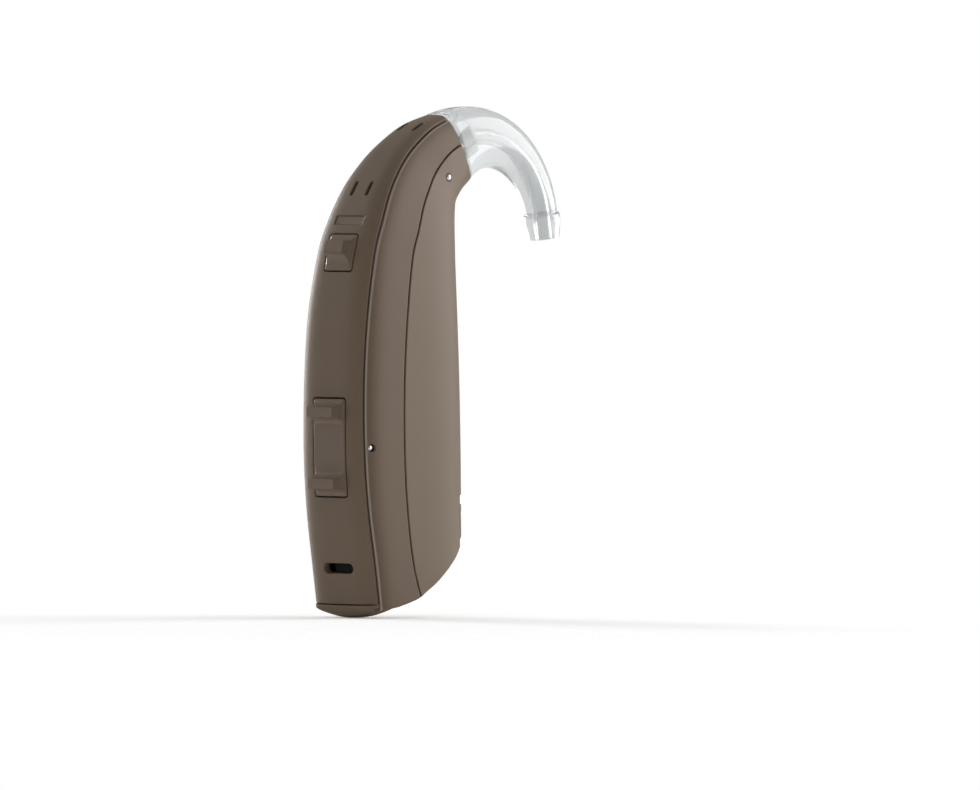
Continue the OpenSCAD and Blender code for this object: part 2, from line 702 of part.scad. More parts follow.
// A raised thumb form: two drawn profiles crossed, so that the sides sweep down to the edges
flare_steps = 6;
function flare(s) = 1 - sqrt(1 - (1 - s) * (1 - s));
function ridge_line(low, top_low, top_high, high, h) = concat(
    [for (k = [0:flare_steps]) [mix(top_low, low, 1 - k / flare_steps), h * flare(1 - k / flare_steps)]],
    [for (k = [0:flare_steps]) [mix(top_high, high, k / flare_steps), h * flare(k / flare_steps)]]);

module thumb_ridge(low, top_low, top_high, high, w, top_w, h, root) {
    intersection() {
        rotate([90, 0, 0]) translate([0, 0, -w / 2]) linear_extrude(w) rotate(90) mirror([0, 1])
            mirror([0, 1]) polygon(concat([[low, -root]], ridge_line(low, top_low, top_high, high, h),
            [[high, -root]]));
        translate([0, 0, low]) linear_extrude(high - low) rotate(90)
            polygon(concat([[-w / 2, -root]], ridge_line(-w / 2, -top_w / 2, top_w / 2, w / 2, h),
            [[w / 2, -root]]));
    }
}

button_top_l = 1.25;
button_top_w = 2.5;
button_top_up = 0.35;
flange_t = 0.5;
flange_out = 0.4;
stem_d = 1.4;
module push_button() {
    w = button_w - 2 * window_gap;
    l = button_l - 2 * window_gap;
    flange_in = wall + 2 * side_gap + window_gap;
    stem_l = bridge_in - switch_t - dome_h - button_travel - run_fit - flange_in;
    color(cover_color) placed() at_spine(button_z) {
        thumb_ridge(-l / 2, button_top_up - button_top_l / 2, button_top_up + button_top_l / 2, l / 2,
            w, button_top_w, button_h, flange_in + flange_t / 2);
        translate([flange_in, -w / 2 - flange_out, -l / 2 - flange_out])
            cube([flange_t, w + 2 * flange_out, l + 2 * flange_out]);
        translate([flange_in, 0, 0]) rotate([0, 90, 0]) cylinder(d = stem_d, h = stem_l, $fn = round_fn);
    }
}

// Volume rocker: a curved plate on its axle with a thumb ridge at each end
rocker_t = 0.9;
ridge_l = 2.7;
ridge_flat = 0.95;
ridge_end = 0.8;
ridge_flat_w = 3.55;
boss_d = 1.3;
nub_d = 1;
rocker_press = 0.25;
rocker_steps = 8;
module rocker_side(low, high) {
    back = [for (z = stations(low, high, rocker_steps)) [spine_at(spine_station(z))[0], z]];
    polygon(concat(back, [for (k = [rocker_steps:-1:0]) back[k] + [rocker_t, 0]]));
}

module volume_rocker() {
    w = rocker_w - 2 * window_gap;
    half = rocker_l / 2 - window_gap;
    nub_end = roof_back - strip_t - dome_h - rocker_press;
    color(cover_color) placed() difference() {
        union() {
            across(w) rocker_side(rocker_z - half, rocker_z + half);
            translate([axle_x - rocker_axle_in, 0, rocker_z]) for (side = [0, 1]) mirror([0, 0, side])
                thumb_ridge(half - ridge_l, half - ridge_end - ridge_flat, half - ridge_end, half,
                    w, ridge_flat_w, ridge_h, rocker_t / 2);
            translate([axle_x, 0, rocker_z]) bar(boss_d, w);
            for (side = [-1, 1]) translate([rocker_t / 2, 0, rocker_z + side * switch_reach]) rotate([0, 90, 0])
                cylinder(d = nub_d, h = nub_end - rocker_t / 2, $fn = round_fn);
        }
        translate([axle_x, 0, rocker_z]) bar(pin_d + 2 * run_fit, body_w);
    }
}

// Lock slider: a knob in the slot and a plate behind it whose tongue reaches over the door's catch
knob_w = 2.5;
knob_out = 0.25;
plate_t = 0.4;
plate_w = 4;
plate_l = 1.9;
module lock_slider() {
    rest = -lock_travel / 2;
    color("#4a423b") placed() at_spine(lock_z) translate([0, rest, 0]) {
        rotate([90, 0, 90]) translate([0, 0, knob_out]) linear_extrude(wall + side_gap) {
            slot_2d(knob_w, lock_t - 2 * run_fit);
        }
        translate([wall + side_gap, -plate_w / 2, -plate_l / 2]) cube([plate_t, plate_w, plate_l]);
    }
}

// Ear hook: a tapered bend with its sound channel, a socket for the spout and a collar for the tubing
hook_gap = 0.08;
hook_rings = 18;
hook_sides = 28;
channel_sides = 14;
hook_power = 3.2;
round_power = 2;
channel_r = channel_d / 2 - run_fit;
joint_half = [depth_at(last_station) / 2, half_w(last_station)];
function hook_fade(s) = pow(1 - s, 1.5);
function hook_path(a, r) = [hook_r - r * cos(a), hook_gap + r * sin(a)];
function hook_loop(s, sides, half, power) = [for (k = [0:sides - 1]) let (q = 360 * k / sides,
        p = half[0] * sign(cos(q)) * pow(abs(cos(q)), 2 / power),
        y = half[1] * sign(sin(q)) * pow(abs(sin(q)), 2 / power),
        place = hook_path(s * hook_sweep, hook_r + p)) [place[0], y, place[1]]];
function hook_half(s) = [for (h = joint_half) mix(hook_tip_d / 2, h, hook_fade(s))];

module at_tip() {
    place = hook_path(hook_sweep, hook_r);
    at_joint() translate([place[0], 0, place[1]]) rotate([0, hook_sweep, 0]) children();
}

module tubing_collar() {
    ease = (barb_d - hook_tip_d) / 2;
    rotate_extrude($fn = round_fn) polygon([[0, -ease], [hook_tip_d / 2 - ease / 2, -ease],
        [barb_d / 2, 0], [barb_d / 2, land_l], [barb_end_d / 2, barb_l], [0, barb_l]]);
}

seal_room_r = neck_d / 2 + seal_t + side_gap;
seal_room_l = seal_t + side_gap;
module ear_hook() {
    color("#dfe4e6") placed() difference() {
        union() {
            at_joint() loft([for (k = [0:hook_rings])
                hook_loop(k / hook_rings, hook_sides, hook_half(k / hook_rings),
                    mix(round_power, hook_power, hook_fade(k / hook_rings)))]);
            at_tip() tubing_collar();
        }
        at_joint() loft([for (k = [0:hook_rings])
            hook_loop(k / hook_rings, channel_sides, [channel_r, channel_r], round_power)]);
        at_joint() translate([0, 0, -over])
            cylinder(d = neck_d + 2 * side_gap, h = neck_l + over + side_gap + hook_gap, $fn = round_fn);
        at_joint() translate([0, 0, -over])
            cylinder(r = seal_room_r, h = over + hook_gap + seal_room_l, $fn = round_fn);
        at_tip() translate([0, 0, -over]) cylinder(d = channel_d, h = barb_l + 2 * over, $fn = round_fn);
    }
}

module hook_seal() {
    color("#3a3a3c") placed() at_joint() translate([0, 0, hook_gap + seal_t / 2 - side_gap / 2])
        rotate_extrude($fn = round_fn) translate([neck_d / 2 + run_fit + seal_t / 2, 0])
            circle(d = seal_t, $fn = round_fn / 2);
}

spine_cover();
mid_frame();
front_cover();
label_inlay();
rocker_pin();
cover_pin();
door_hinge_pin();
sound_spout();
receiver();
receiver_tube();
receiver_cradle();
circuit_board();
processor_chip();
telecoil();
antenna_strip();
front_microphone();
rear_microphone();
front_mic_seal();
rear_mic_seal();
button_switch();
rocker_switches();
positive_contact();
negative_contact();
battery_door();
battery_can();
battery_cap();
battery_grommet();
push_button();
volume_rocker();
lock_slider();
hook_seal();
ear_hook();
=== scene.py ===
# Behind-the-ear hearing aid: fine shell, controls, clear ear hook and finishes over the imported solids
import bpy
import math
import numpy as np
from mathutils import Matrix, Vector


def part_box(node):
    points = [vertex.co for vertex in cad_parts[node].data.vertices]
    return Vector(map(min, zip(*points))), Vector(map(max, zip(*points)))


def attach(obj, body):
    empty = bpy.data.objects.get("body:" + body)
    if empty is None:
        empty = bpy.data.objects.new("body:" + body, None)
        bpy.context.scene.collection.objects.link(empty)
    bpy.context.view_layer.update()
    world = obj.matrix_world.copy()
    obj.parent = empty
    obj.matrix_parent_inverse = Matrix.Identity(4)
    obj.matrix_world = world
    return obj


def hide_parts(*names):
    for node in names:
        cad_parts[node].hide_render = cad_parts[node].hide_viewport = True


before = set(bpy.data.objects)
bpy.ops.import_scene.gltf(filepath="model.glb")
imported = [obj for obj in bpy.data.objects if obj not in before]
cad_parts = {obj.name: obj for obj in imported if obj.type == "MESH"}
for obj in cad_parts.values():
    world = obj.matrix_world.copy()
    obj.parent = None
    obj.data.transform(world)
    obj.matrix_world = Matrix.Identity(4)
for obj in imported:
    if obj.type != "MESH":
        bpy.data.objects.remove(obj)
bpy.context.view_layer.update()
print("frame loaded,", len(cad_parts), "nodes")

# Sizes are in millimetres; x counts from the body's back, and every piece is then moved back by footX
# highlightRounds: how many rim radii the painted highlight on a rim's rounding reaches
case = dict(height=50.0, depth=15.6, width=9.9, wall=0.8, footX=3.5, seamGap=0.13, gripTop=1.35,
            spineRound=0.11, bandRound=0.15, frontRound=0.08, underRound=0.12, highlightRounds=1.6,
            lowerEdge=0.2, lowerFrom=3.0, lowerOver=2.0)
fineness = dict(pitch=0.13, lineSteps=4000, quarterSteps=120, crowding=2.3, underSteps=60, spineColumns=78,
                bandColumns=58, tongueColumns=6, frontColumns=150)

# Station rows from the foot to the hook joint, as shares: spine x and z, front x and z, half width,
# back and front roundness, first seam, second seam, widest place
stationRows = np.array([
    [0.128, -0.010, 1.003, -0.010, 0.990, 5.0, 4.0, 0.900, 0.505, 0.366],
    [0.077, 0.098, 1.003, 0.098, 1.000, 5.0, 4.0, 0.900, 0.398, 0.346],
    [0.022, 0.218, 1.000, 0.218, 1.000, 5.0, 4.0, 0.885, 0.370, 0.328],
    [-0.003, 0.338, 0.997, 0.334, 1.000, 5.0, 4.0, 0.870, 0.362, 0.320],
    [0.000, 0.476, 0.987, 0.468, 0.990, 5.0, 4.0, 0.865, 0.367, 0.325],
    [0.029, 0.606, 0.974, 0.588, 0.960, 5.0, 4.0, 0.885, 0.390, 0.338],
    [0.099, 0.726, 0.974, 0.692, 0.889, 5.0, 3.8, 0.910, 0.418, 0.349],
    [0.179, 0.790, 0.978, 0.738, 0.838, 5.0, 3.7, 0.915, 0.446, 0.362],
    [0.2798, 0.8492, 0.987, 0.774, 0.768, 4.8, 3.6, 0.900, 0.456, 0.381],
    [0.3980, 0.8959, 1.003, 0.800, 0.697, 4.6, 3.4, 0.880, 0.464, 0.407],
    [0.5318, 0.9360, 1.026, 0.820, 0.626, 4.2, 3.2, 0.860, 0.460, 0.448],
    [0.7323, 0.9762, 1.083, 0.842, 0.566, 3.8, 3.2, 0.820, 0.445, 0.481],
    [0.926, 0.997, 1.154, 0.859, 0.505, 3.2, 3.2, 0.740, 0.430, 0.500]])
lastRow = len(stationRows) - 1
# The lower edge of the side walls from back to front, as shares of the depth and the height
underEdge = np.array([[0.141, 0.012], [0.288, 0.024], [0.474, 0.040], [0.560, 0.055], [0.654, 0.073],
                      [0.769, 0.101], [0.865, 0.128], [0.936, 0.158], [0.981, 0.184], [1.003, 0.204]])


def splineAt(table, t):
    # Catmull-Rom: each value runs smoothly through its neighbours in the table
    t = np.asarray(t, float)
    last = len(table) - 1
    k = np.clip(np.floor(t).astype(int), 0, last - 1)
    f = (t - k)[..., None]
    p, q, r, s = (table[np.clip(k + step, 0, last)] for step in (-1, 0, 1, 2))
    return (2 * q + (r - p) * f + (2 * p - 5 * q + 4 * r - s) * f ** 2 + (3 * q - p - 3 * r + s) * f ** 3) / 2


def underLine(first, count):
    # Places along the lower edge from a row of its table to the last one
    rows = np.linspace(first, len(underEdge) - 1, count)
    return splineAt(underEdge, rows) * [case["depth"], case["height"]]


def sectionFacts(t):
    # Spine place, inward direction, depth, half width, roundness and seam places of the sections
    row = splineAt(stationRows, t)
    size = np.array([case["depth"], case["height"]])
    spine, front = row[..., 0:2] * size, row[..., 2:4] * size
    depth = np.linalg.norm(front - spine, axis=-1)
    halfWidth = row[..., 4] * case["width"] / 2
    return dict(spine=spine, inward=(front - spine) / depth[..., None], depth=depth, half=halfWidth,
                back=row[..., 5], fore=row[..., 6], seamOne=row[..., 7] * halfWidth,
                seamTwo=row[..., 8] * depth, widest=row[..., 9] * depth)


def sectionPoint(t, angle):
    # Two superellipse halves that meet at the widest line: 0 at the spine, pi at the front
    s = sectionFacts(t)
    angle = np.where(angle > np.pi, angle - 2 * np.pi, angle)
    a = np.abs(angle)
    rear = a <= np.pi / 2
    power = 2 / np.where(rear, s["back"], s["fore"])
    reach = np.abs(np.cos(a)) ** power
    v = np.where(rear, s["widest"] * (1 - reach), s["widest"] + (s["depth"] - s["widest"]) * reach)
    y = np.sign(angle) * s["half"] * np.abs(np.sin(a)) ** power
    place = s["spine"] + s["inward"] * v[..., None]
    return np.stack([place[..., 0] - case["footX"], y, place[..., 1]], -1)


def firstSeam(shift):
    # The angle at which the rear superellipse is as wide as the first seam, moved sideways by shift
    def angle(t):
        s = sectionFacts(t)
        return np.arcsin(((s["seamOne"] + shift) / s["half"]) ** (s["back"] / 2))
    return angle


def secondSeam(shift):
    # The angle at which the section is as deep as the second seam, moved forward by shift
    def angle(t):
        s = sectionFacts(t)
        v = s["seamTwo"] + shift
        rear = np.arccos(np.clip((s["widest"] - v) / s["widest"], 0, 1) ** (s["back"] / 2))
        fore = np.arccos(np.clip((v - s["widest"]) / (s["depth"] - s["widest"]), 0, 1) ** (s["fore"] / 2))
        return np.where(v < s["widest"], rear, np.pi - fore)
    return angle


def runsAlong(line):
    # The run from a line's start to each of its points
    return np.concatenate([[0], np.cumsum(np.linalg.norm(np.diff(line, axis=0), axis=1))])


stationFine = np.linspace(0, lastRow, fineness["lineSteps"])
spineFine = sectionFacts(stationFine)["spine"]
spineRun = runsAlong(spineFine)


def stationOf(z):
    # The station at which the spine has this height
    return float(np.interp(z, spineFine[:, 1], stationFine))


# Section angles crowded toward the corners, and the fixed fine steps beside every rim
quarter = np.linspace(0, 1, fineness["quarterSteps"]) ** fineness["crowding"]
quarter = np.unique(np.concatenate([np.arcsin(quarter), np.arccos(quarter)]))
fineAngles = np.unique(np.concatenate([k * np.pi / 2 + quarter for k in range(-2, 4)]))
rimSteps = np.array([0, 0.025, 0.06, 0.1, 0.16, 0.25])


def evenPlaces(count):
    # Places along a line of any length, as a fixed run plus a share: fine at both ends, even between
    share = np.linspace(0, 1, count)[1:-1]
    edge = rimSteps[-1]
    return (np.concatenate([rimSteps, edge * (1 - 2 * share), -rimSteps[::-1]]),
            np.concatenate([0 * rimSteps, share, 0 * rimSteps + 1]))


def bandGrid(fromStation, firstAngle, lastAngle, columns):
    # The body's surface between two edge lines, as a grid at even runs, with the run to the nearest rim
    low, high = np.interp([fromStation, lastRow], stationFine, spineRun)
    a, b = evenPlaces(int((high - low) / fineness["pitch"]))
    runs = low + a + b * (high - low)
    stations = np.interp(runs, spineRun, stationFine)
    a, b = evenPlaces(columns)
    angles, rims = [], []
    for t, lo, hi in zip(stations, firstAngle(stations), lastAngle(stations)):
        line = np.concatenate([[lo], fineAngles[(fineAngles > lo) & (fineAngles < hi)], [hi]])
        run = runsAlong(sectionPoint(np.full(len(line), t), line))
        want = a + b * run[-1]
        angles.append(np.interp(want, run, line))
        rims.append(np.minimum(want, run[-1] - want))
    points = sectionPoint(stations[:, None] + 0 * angles[0], np.array(angles))
    return points, np.minimum(np.array(rims), np.minimum(runs - low, high - runs)[:, None])


def gridAt(grid, i, j):
    # Value of a grid between its lines, weighted by how near each of the four corners lies
    i0 = np.clip(np.floor(i).astype(int), 0, grid.shape[0] - 2)
    j0 = np.clip(np.floor(j).astype(int), 0, grid.shape[1] - 2)
    fi, fj = i - i0, j - j0
    if grid.ndim == 3:
        fi, fj = fi[..., None], fj[..., None]
    return ((grid[i0, j0] * (1 - fi) + grid[i0 + 1, j0] * fi) * (1 - fj)
            + (grid[i0, j0 + 1] * (1 - fi) + grid[i0 + 1, j0 + 1] * fi) * fj)


def filletDrop(run, radius):
    # How far a quarter-round edge of this radius drops at a run from the edge
    return radius - np.sqrt(np.clip(radius ** 2 - np.clip(radius - run, 0, None) ** 2, 0, None))


def gridNormals(points):
    # Unit cross products of the grid's two directions, turned to face away from its middle
    normals = np.cross(np.gradient(points, axis=0), np.gradient(points, axis=1))
    normals = normals / np.linalg.norm(normals, axis=-1, keepdims=True)
    outward = np.sum(normals * (points - points.reshape(-1, 3).mean(0))) > 0
    return normals if outward else -normals


def gridQuads(m, n):
    # The four-cornered faces of a grid whose corners are numbered row by row
    number = np.arange(m * n).reshape(m, n)
    return np.stack([number[:-1, :-1], number[1:, :-1], number[1:, 1:], number[:-1, 1:]], -1).reshape(-1, 4)


nearSteps = np.array([0, 0.05, 0.14, 0.29])  # gaps at which the vertices nearest to an opening are set


def slideToOutlines(points, i, j, near, want, gapAt):
    # Newton steps over the grid: each near vertex follows the slope of the gap to its wanted value
    nudge, longest, leastSlope = 0.05, 0.8, 0.2
    m, n = points.shape[:2]
    i1, j1 = i[near], j[near]
    edgeI, edgeJ = (i1 == 0) | (i1 == m - 1), (j1 == 0) | (j1 == n - 1)
    stepI, stepJ = (np.linalg.norm(np.gradient(points, axis=axis), axis=-1)[near] for axis in (0, 1))
    for turn in range(4):
        here = gapAt(i1, j1)
        slopeI = np.where(edgeI, 0, (gapAt(i1 + nudge, j1) - gapAt(i1 - nudge, j1)) / (2 * nudge * stepI))
        slopeJ = np.where(edgeJ, 0, (gapAt(i1, j1 + nudge) - gapAt(i1, j1 - nudge)) / (2 * nudge * stepJ))
        steep = np.clip(slopeI ** 2 + slopeJ ** 2, leastSlope, None)
        i1 = np.clip(i1 + np.clip((want - here) * slopeI / steep / stepI, -longest, longest), 0, m - 1)
        j1 = np.clip(j1 + np.clip((want - here) * slopeJ / steep / stepJ, -longest, longest), 0, n - 1)
    i[near], j[near] = i1, j1


def facesBeside(quads, levels):
    # Whole faces clear of the openings, and triangles that follow the vertices on their outlines (level 0)
    whole = quads[levels[quads].min(1) >= 1]
    part = quads[(levels[quads].min(1) < 1) & (levels[quads].max(1) >= 1)]
    first = (levels[part[:, 0]] == 0) & (levels[part[:, 2]] == 0)
    second = (levels[part[:, 1]] == 0) & (levels[part[:, 3]] == 0) & ~first
    triples = np.concatenate([part[~second][:, [0, 1, 2]], part[~second][:, [0, 2, 3]],
                              part[second][:, [0, 1, 3]], part[second][:, [1, 2, 3]]])
    return whole, triples[(levels[triples].min(1) >= 0) & (levels[triples].max(1) >= 1)]


def trimmedShell(points, rim, openings, wall, rimRound, sink=0.0):
    # A wall on a grid: vertices near an opening's outline slide onto it, those inside go, edges are rounded.
    # Each opening is a function that gives the gap to its outline, with its edge radius. Only the first rim
    # gets a painted highlight: a share of lighter colour along its rounding
    normals = gridNormals(points)
    m, n = rim.shape
    i, j = np.meshgrid(np.arange(m, dtype=float), np.arange(n, dtype=float), indexing="ij")
    gap = np.full((m, n), np.inf)
    soft = np.full((m, n), rimRound)
    for distance, radius in openings:
        d = distance(points)
        soft = np.where(d < gap, radius, soft)
        gap = np.minimum(gap, d)

    def gapAt(i, j):
        p = gridAt(points, i, j)
        return np.min([distance(p) for distance, radius in openings], axis=0)

    level = np.round(gap / fineness["pitch"]).astype(int)
    near = (level >= 0) & (level < len(nearSteps))
    slideToOutlines(points, i, j, near, nearSteps[level[near]], gapAt)
    gap = np.where(near, gapAt(i, j), gap)
    facing = gridAt(normals, i, j)
    facing /= np.linalg.norm(facing, axis=-1, keepdims=True)
    rimRun = gridAt(rim, i, j)
    drop = np.maximum(filletDrop(rimRun, rimRound), filletDrop(np.clip(gap, 0, None), soft))
    place = gridAt(points, i, j)
    outer = (place - facing * (drop + sink)[..., None]).reshape(-1, 3)
    inner = (place - facing * wall).reshape(-1, 3)
    # Painted highlight: a share of lighter colour along the first rim's rounding, standing in for the light it
    # catches
    paintedHighlight = np.clip(1 - rimRun / (rimRound * case["highlightRounds"]), 0, 1) * (j < n / 2)
    return closedSheet(outer, inner, *facesBeside(gridQuads(m, n), level.reshape(-1)), paintedHighlight.reshape(-1))


def closedSheet(outer, inner, quads, triples, paintedHighlight):
    # An outer and an inner sheet with the same faces, joined all along their open edges. The third result is
    # each corner's share of painted edge highlight, none on the inner sheet
    count = len(outer)
    starts = np.concatenate([quads.reshape(-1), triples.reshape(-1)])
    ends = np.concatenate([np.roll(quads, -1, 1).reshape(-1), np.roll(triples, -1, 1).reshape(-1)])
    single = ~np.isin(starts * count + ends, ends * count + starts)
    u, v = starts[single], ends[single]
    rimFaces = np.stack([v, u, u + count, v + count], -1)
    faces = (quads.tolist() + triples.tolist() + (quads[:, ::-1] + count).tolist()
             + (triples[:, ::-1] + count).tolist() + rimFaces.tolist())
    used = np.unique(starts)
    keep = np.concatenate([used, used + count])
    renumber = np.full(2 * count, -1)
    renumber[keep] = np.arange(len(keep))
    faces = [[int(renumber[c]) for c in face] for face in faces]
    return np.concatenate([outer, inner])[keep], faces, np.append(paintedHighlight, 0 * paintedHighlight)[keep]


def gridSheet(outer, inner):
    # Two grids of points of the same size, joined to one closed sheet without painted edge highlight
    quads, noTriples = gridQuads(*outer.shape[:2]), np.zeros((0, 3), int)
    outer, inner = outer.reshape(-1, 3), inner.reshape(-1, 3)
    return closedSheet(outer, inner, quads, noTriples, np.zeros(len(outer)))


def mirrored(shape, side):
    # The same shape on the left, side -1, or on the right, side 1
    corners, *rest = shape
    return (corners * [1, side, 1], *rest)


def ringSurface(rings, loop=False):
    # Rings of points joined side to side: the ends close to their middles, or the last ring meets the first
    rings = np.array(rings)
    m, n = rings.shape[:2]
    number = np.arange(m * n).reshape(m, n)
    nextRing = np.roll(number, -1, 0) if loop else number[1:]
    here = number if loop else number[:-1]
    faces = np.stack([here, np.roll(here, -1, 1), np.roll(nextRing, -1, 1), nextRing], -1)
    faces = faces.reshape(-1, 4).tolist()
    corners = rings.reshape(-1, 3)
    if not loop:
        corners = np.concatenate([corners, rings[:1].mean(1), rings[-1:].mean(1)])
        faces += [[int(number[0, (k + 1) % n]), int(number[0, k]), m * n] for k in range(n)]
        faces += [[int(number[-1, k]), int(number[-1, (k + 1) % n]), m * n + 1] for k in range(n)]
    return corners, faces


def addPiece(name, shape, body, look, crease=40, stands=()):
    # Puts corners in millimetres, faces and the share of painted edge highlight into a named piece whose faces
    # point outwards
    corners, faces, *paintedHighlight = shape
    flat = [f for face in faces for f in ((face[0], a, b) for a, b in zip(face[1:-1], face[2:]))]
    t = corners[np.array(flat)]
    if np.einsum("ij,ij->i", t[:, 0], np.cross(t[:, 1], t[:, 2])).sum() < 0:
        faces = [face[::-1] for face in faces]
    mesh = bpy.data.meshes.new(name)
    mesh.from_pydata((corners * 0.001).tolist(), [], faces)
    # The attribute holds each corner's share of painted highlight colour
    if paintedHighlight:
        mesh.attributes.new("highlightShare", "FLOAT", "POINT").data.foreach_set("value", paintedHighlight[0])
    mesh.validate()
    mesh.shade_smooth()
    mesh.set_sharp_from_angle(angle=math.radians(crease))
    piece = bpy.data.objects.new(name, mesh)
    bpy.context.scene.collection.objects.link(piece)
    mesh.materials.append(looks[look])
    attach(piece, body)
    if stands:
        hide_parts(*stands)
    print(name, len(flat), "triangles")
    return piece


class Field:
    # A socket whose sums, differences and products add Math nodes
    def __init__(self, look, socket):
        self.look, self.socket = look, socket

    def join(self, operation, *values):
        return self.look.node("ShaderNodeMath", {"operation": operation}, dict(enumerate(values)))

    def __add__(self, other):
        return self.join("ADD", self, other)

    def __sub__(self, other):
        return self.join("SUBTRACT", self, other)

    def __rsub__(self, other):
        return self.join("SUBTRACT", other, self)

    def __mul__(self, other):
        return self.join("MULTIPLY", self, other)

    def most(self, other):
        return self.join("MAXIMUM", self, other)


class Look:
    # One node material on the piece's own coordinates, counted in millimetres
    def __init__(self, name, **fixed):
        self.material = bpy.data.materials.new(name)
        self.material.use_nodes = True
        self.tree = self.material.node_tree
        self.shader = self.tree.nodes["Principled BSDF"]
        coordinates = self.node("ShaderNodeTexCoord", {}, {}, "Object")
        self.place = self.node("ShaderNodeMapping", {}, {"Vector": coordinates, "Scale": (1000, 1000, 1000)})
        for socket, value in fixed.items():
            self.shader.inputs[socket.replace("_", " ")].default_value = value

    def node(self, kind, settings, inputs, out=0):
        made = self.tree.nodes.new(kind)
        for key, value in settings.items():
            setattr(made, key, value)
        for key, value in inputs.items():
            if isinstance(value, Field):
                self.tree.links.new(value.socket, made.inputs[key])
            else:
                made.inputs[key].default_value = value
        return Field(self, made.outputs[out])

    def noise(self, perMillimetre, detail=2, rough=0.5):
        return self.node("ShaderNodeTexNoise", {}, {"Vector": self.place, "Scale": perMillimetre,
                                                    "Detail": detail, "Roughness": rough}, "Fac")

    def blend(self, share, a, b):
        return self.node("ShaderNodeMix", {"data_type": "RGBA"}, {0: share, 6: a, 7: b}, 2)

    def feed(self, socket, field):
        self.tree.links.new(field.socket, self.shader.inputs[socket])

    def bump(self, height, millimetres):
        self.feed("Normal", self.node("ShaderNodeBump", {}, {"Height": height, "Strength": 1.0,
                                                             "Distance": millimetres * 0.001}))


def linear(red, green, blue):
    # Screen colour 0-255 to the light values that a shader takes
    c = np.array([red, green, blue]) / 255
    return (*np.where(c < 0.04045, c / 12.92, ((c + 0.055) / 1.055) ** 2.4), 1.0)


def mouldedPlastic(name, colour, rough, grain=0.0022, mottle=0.05, edge=None, **fixed):
    # Satin moulded plastic: fine spark grain, faint flow mottling, small rubbed patches, and a painted
    # highlight along rims that carry a highlight share
    look = Look(name, **fixed)
    flow, fine, rub = look.noise(0.35, 3), look.noise(11, 2, 0.6), look.noise(1.7, 4, 0.6)
    tone = (flow - 0.5) * (2.4 * mottle) + (rub - 0.5) * mottle + 0.5
    dark = tuple(c * (1 - mottle * 1.6) for c in colour[:3]) + (1,)
    light = tuple(min(1, c * (1 + mottle * 1.6)) for c in colour[:3]) + (1,)
    moulded = look.blend(tone, dark, light)
    # edge is the colour of a painted highlight, laid on where a corner's highlight share is high
    if edge:
        highlightShare = look.node("ShaderNodeAttribute", {"attribute_name": "highlightShare"}, {}, "Fac")
        moulded = look.blend(highlightShare, moulded, edge)
    look.feed("Base Color", moulded)
    look.feed("Roughness", (rub - 0.5) * 0.10 + (fine - 0.5) * 0.06 + rough)
    look.bump(fine + rub * 0.4, grain)
    return look.material


def drawnMetal(name, colour, rough):
    # Drawn or stamped metal: fine streaks, small scratches, a slight colour drift
    look = Look(name, Metallic=1.0)
    streakPlace = look.node("ShaderNodeMapping", {}, {"Vector": look.place, "Scale": (1, 1, 14)})
    streak = look.node("ShaderNodeTexNoise", {}, {"Vector": streakPlace, "Scale": 3.0, "Detail": 3.0}, "Fac")
    cloud = look.noise(0.8, 3)
    look.feed("Base Color", look.blend(cloud, tuple(c * 0.88 for c in colour[:3]) + (1,), colour))
    look.feed("Roughness", (streak - 0.5) * 0.16 + (cloud - 0.5) * 0.1 + rough)
    look.bump(streak, 0.0012)
    return look.material


def woundCopper(name):
    # Fine enamelled wire wound round the core: even ridges across it
    look = Look(name, Metallic=0.9)
    along = look.node("ShaderNodeSeparateXYZ", {}, {"Vector": look.place}, "Z")
    ridge = look.node("ShaderNodeMath", {"operation": "SINE"}, {0: along * 60.0})
    # Painted shade and highlight: the colour is darker in the grooves between the windings and lighter on their
    # crests, in step with the bumped ridges
    look.feed("Base Color", look.blend(ridge * 0.5 + 0.5, linear(96, 46, 20), linear(196, 118, 66)))
    look.feed("Roughness", look.noise(3) * 0.2 + 0.25)
    look.bump(ridge, 0.012)
    return look.material


def clearPlastic(name):
    # Clear polished plastic with a faint haze and slight sink marks
    look = Look(name, Transmission_Weight=0.8, IOR=1.46)
    haze, wave = look.noise(0.5, 3), look.noise(0.9, 2)
    look.feed("Base Color", look.blend(haze, linear(224, 227, 228), linear(238, 240, 240)))
    look.feed("Roughness", haze * 0.10 + 0.09)
    look.bump(wave, 0.01)
    return look.material


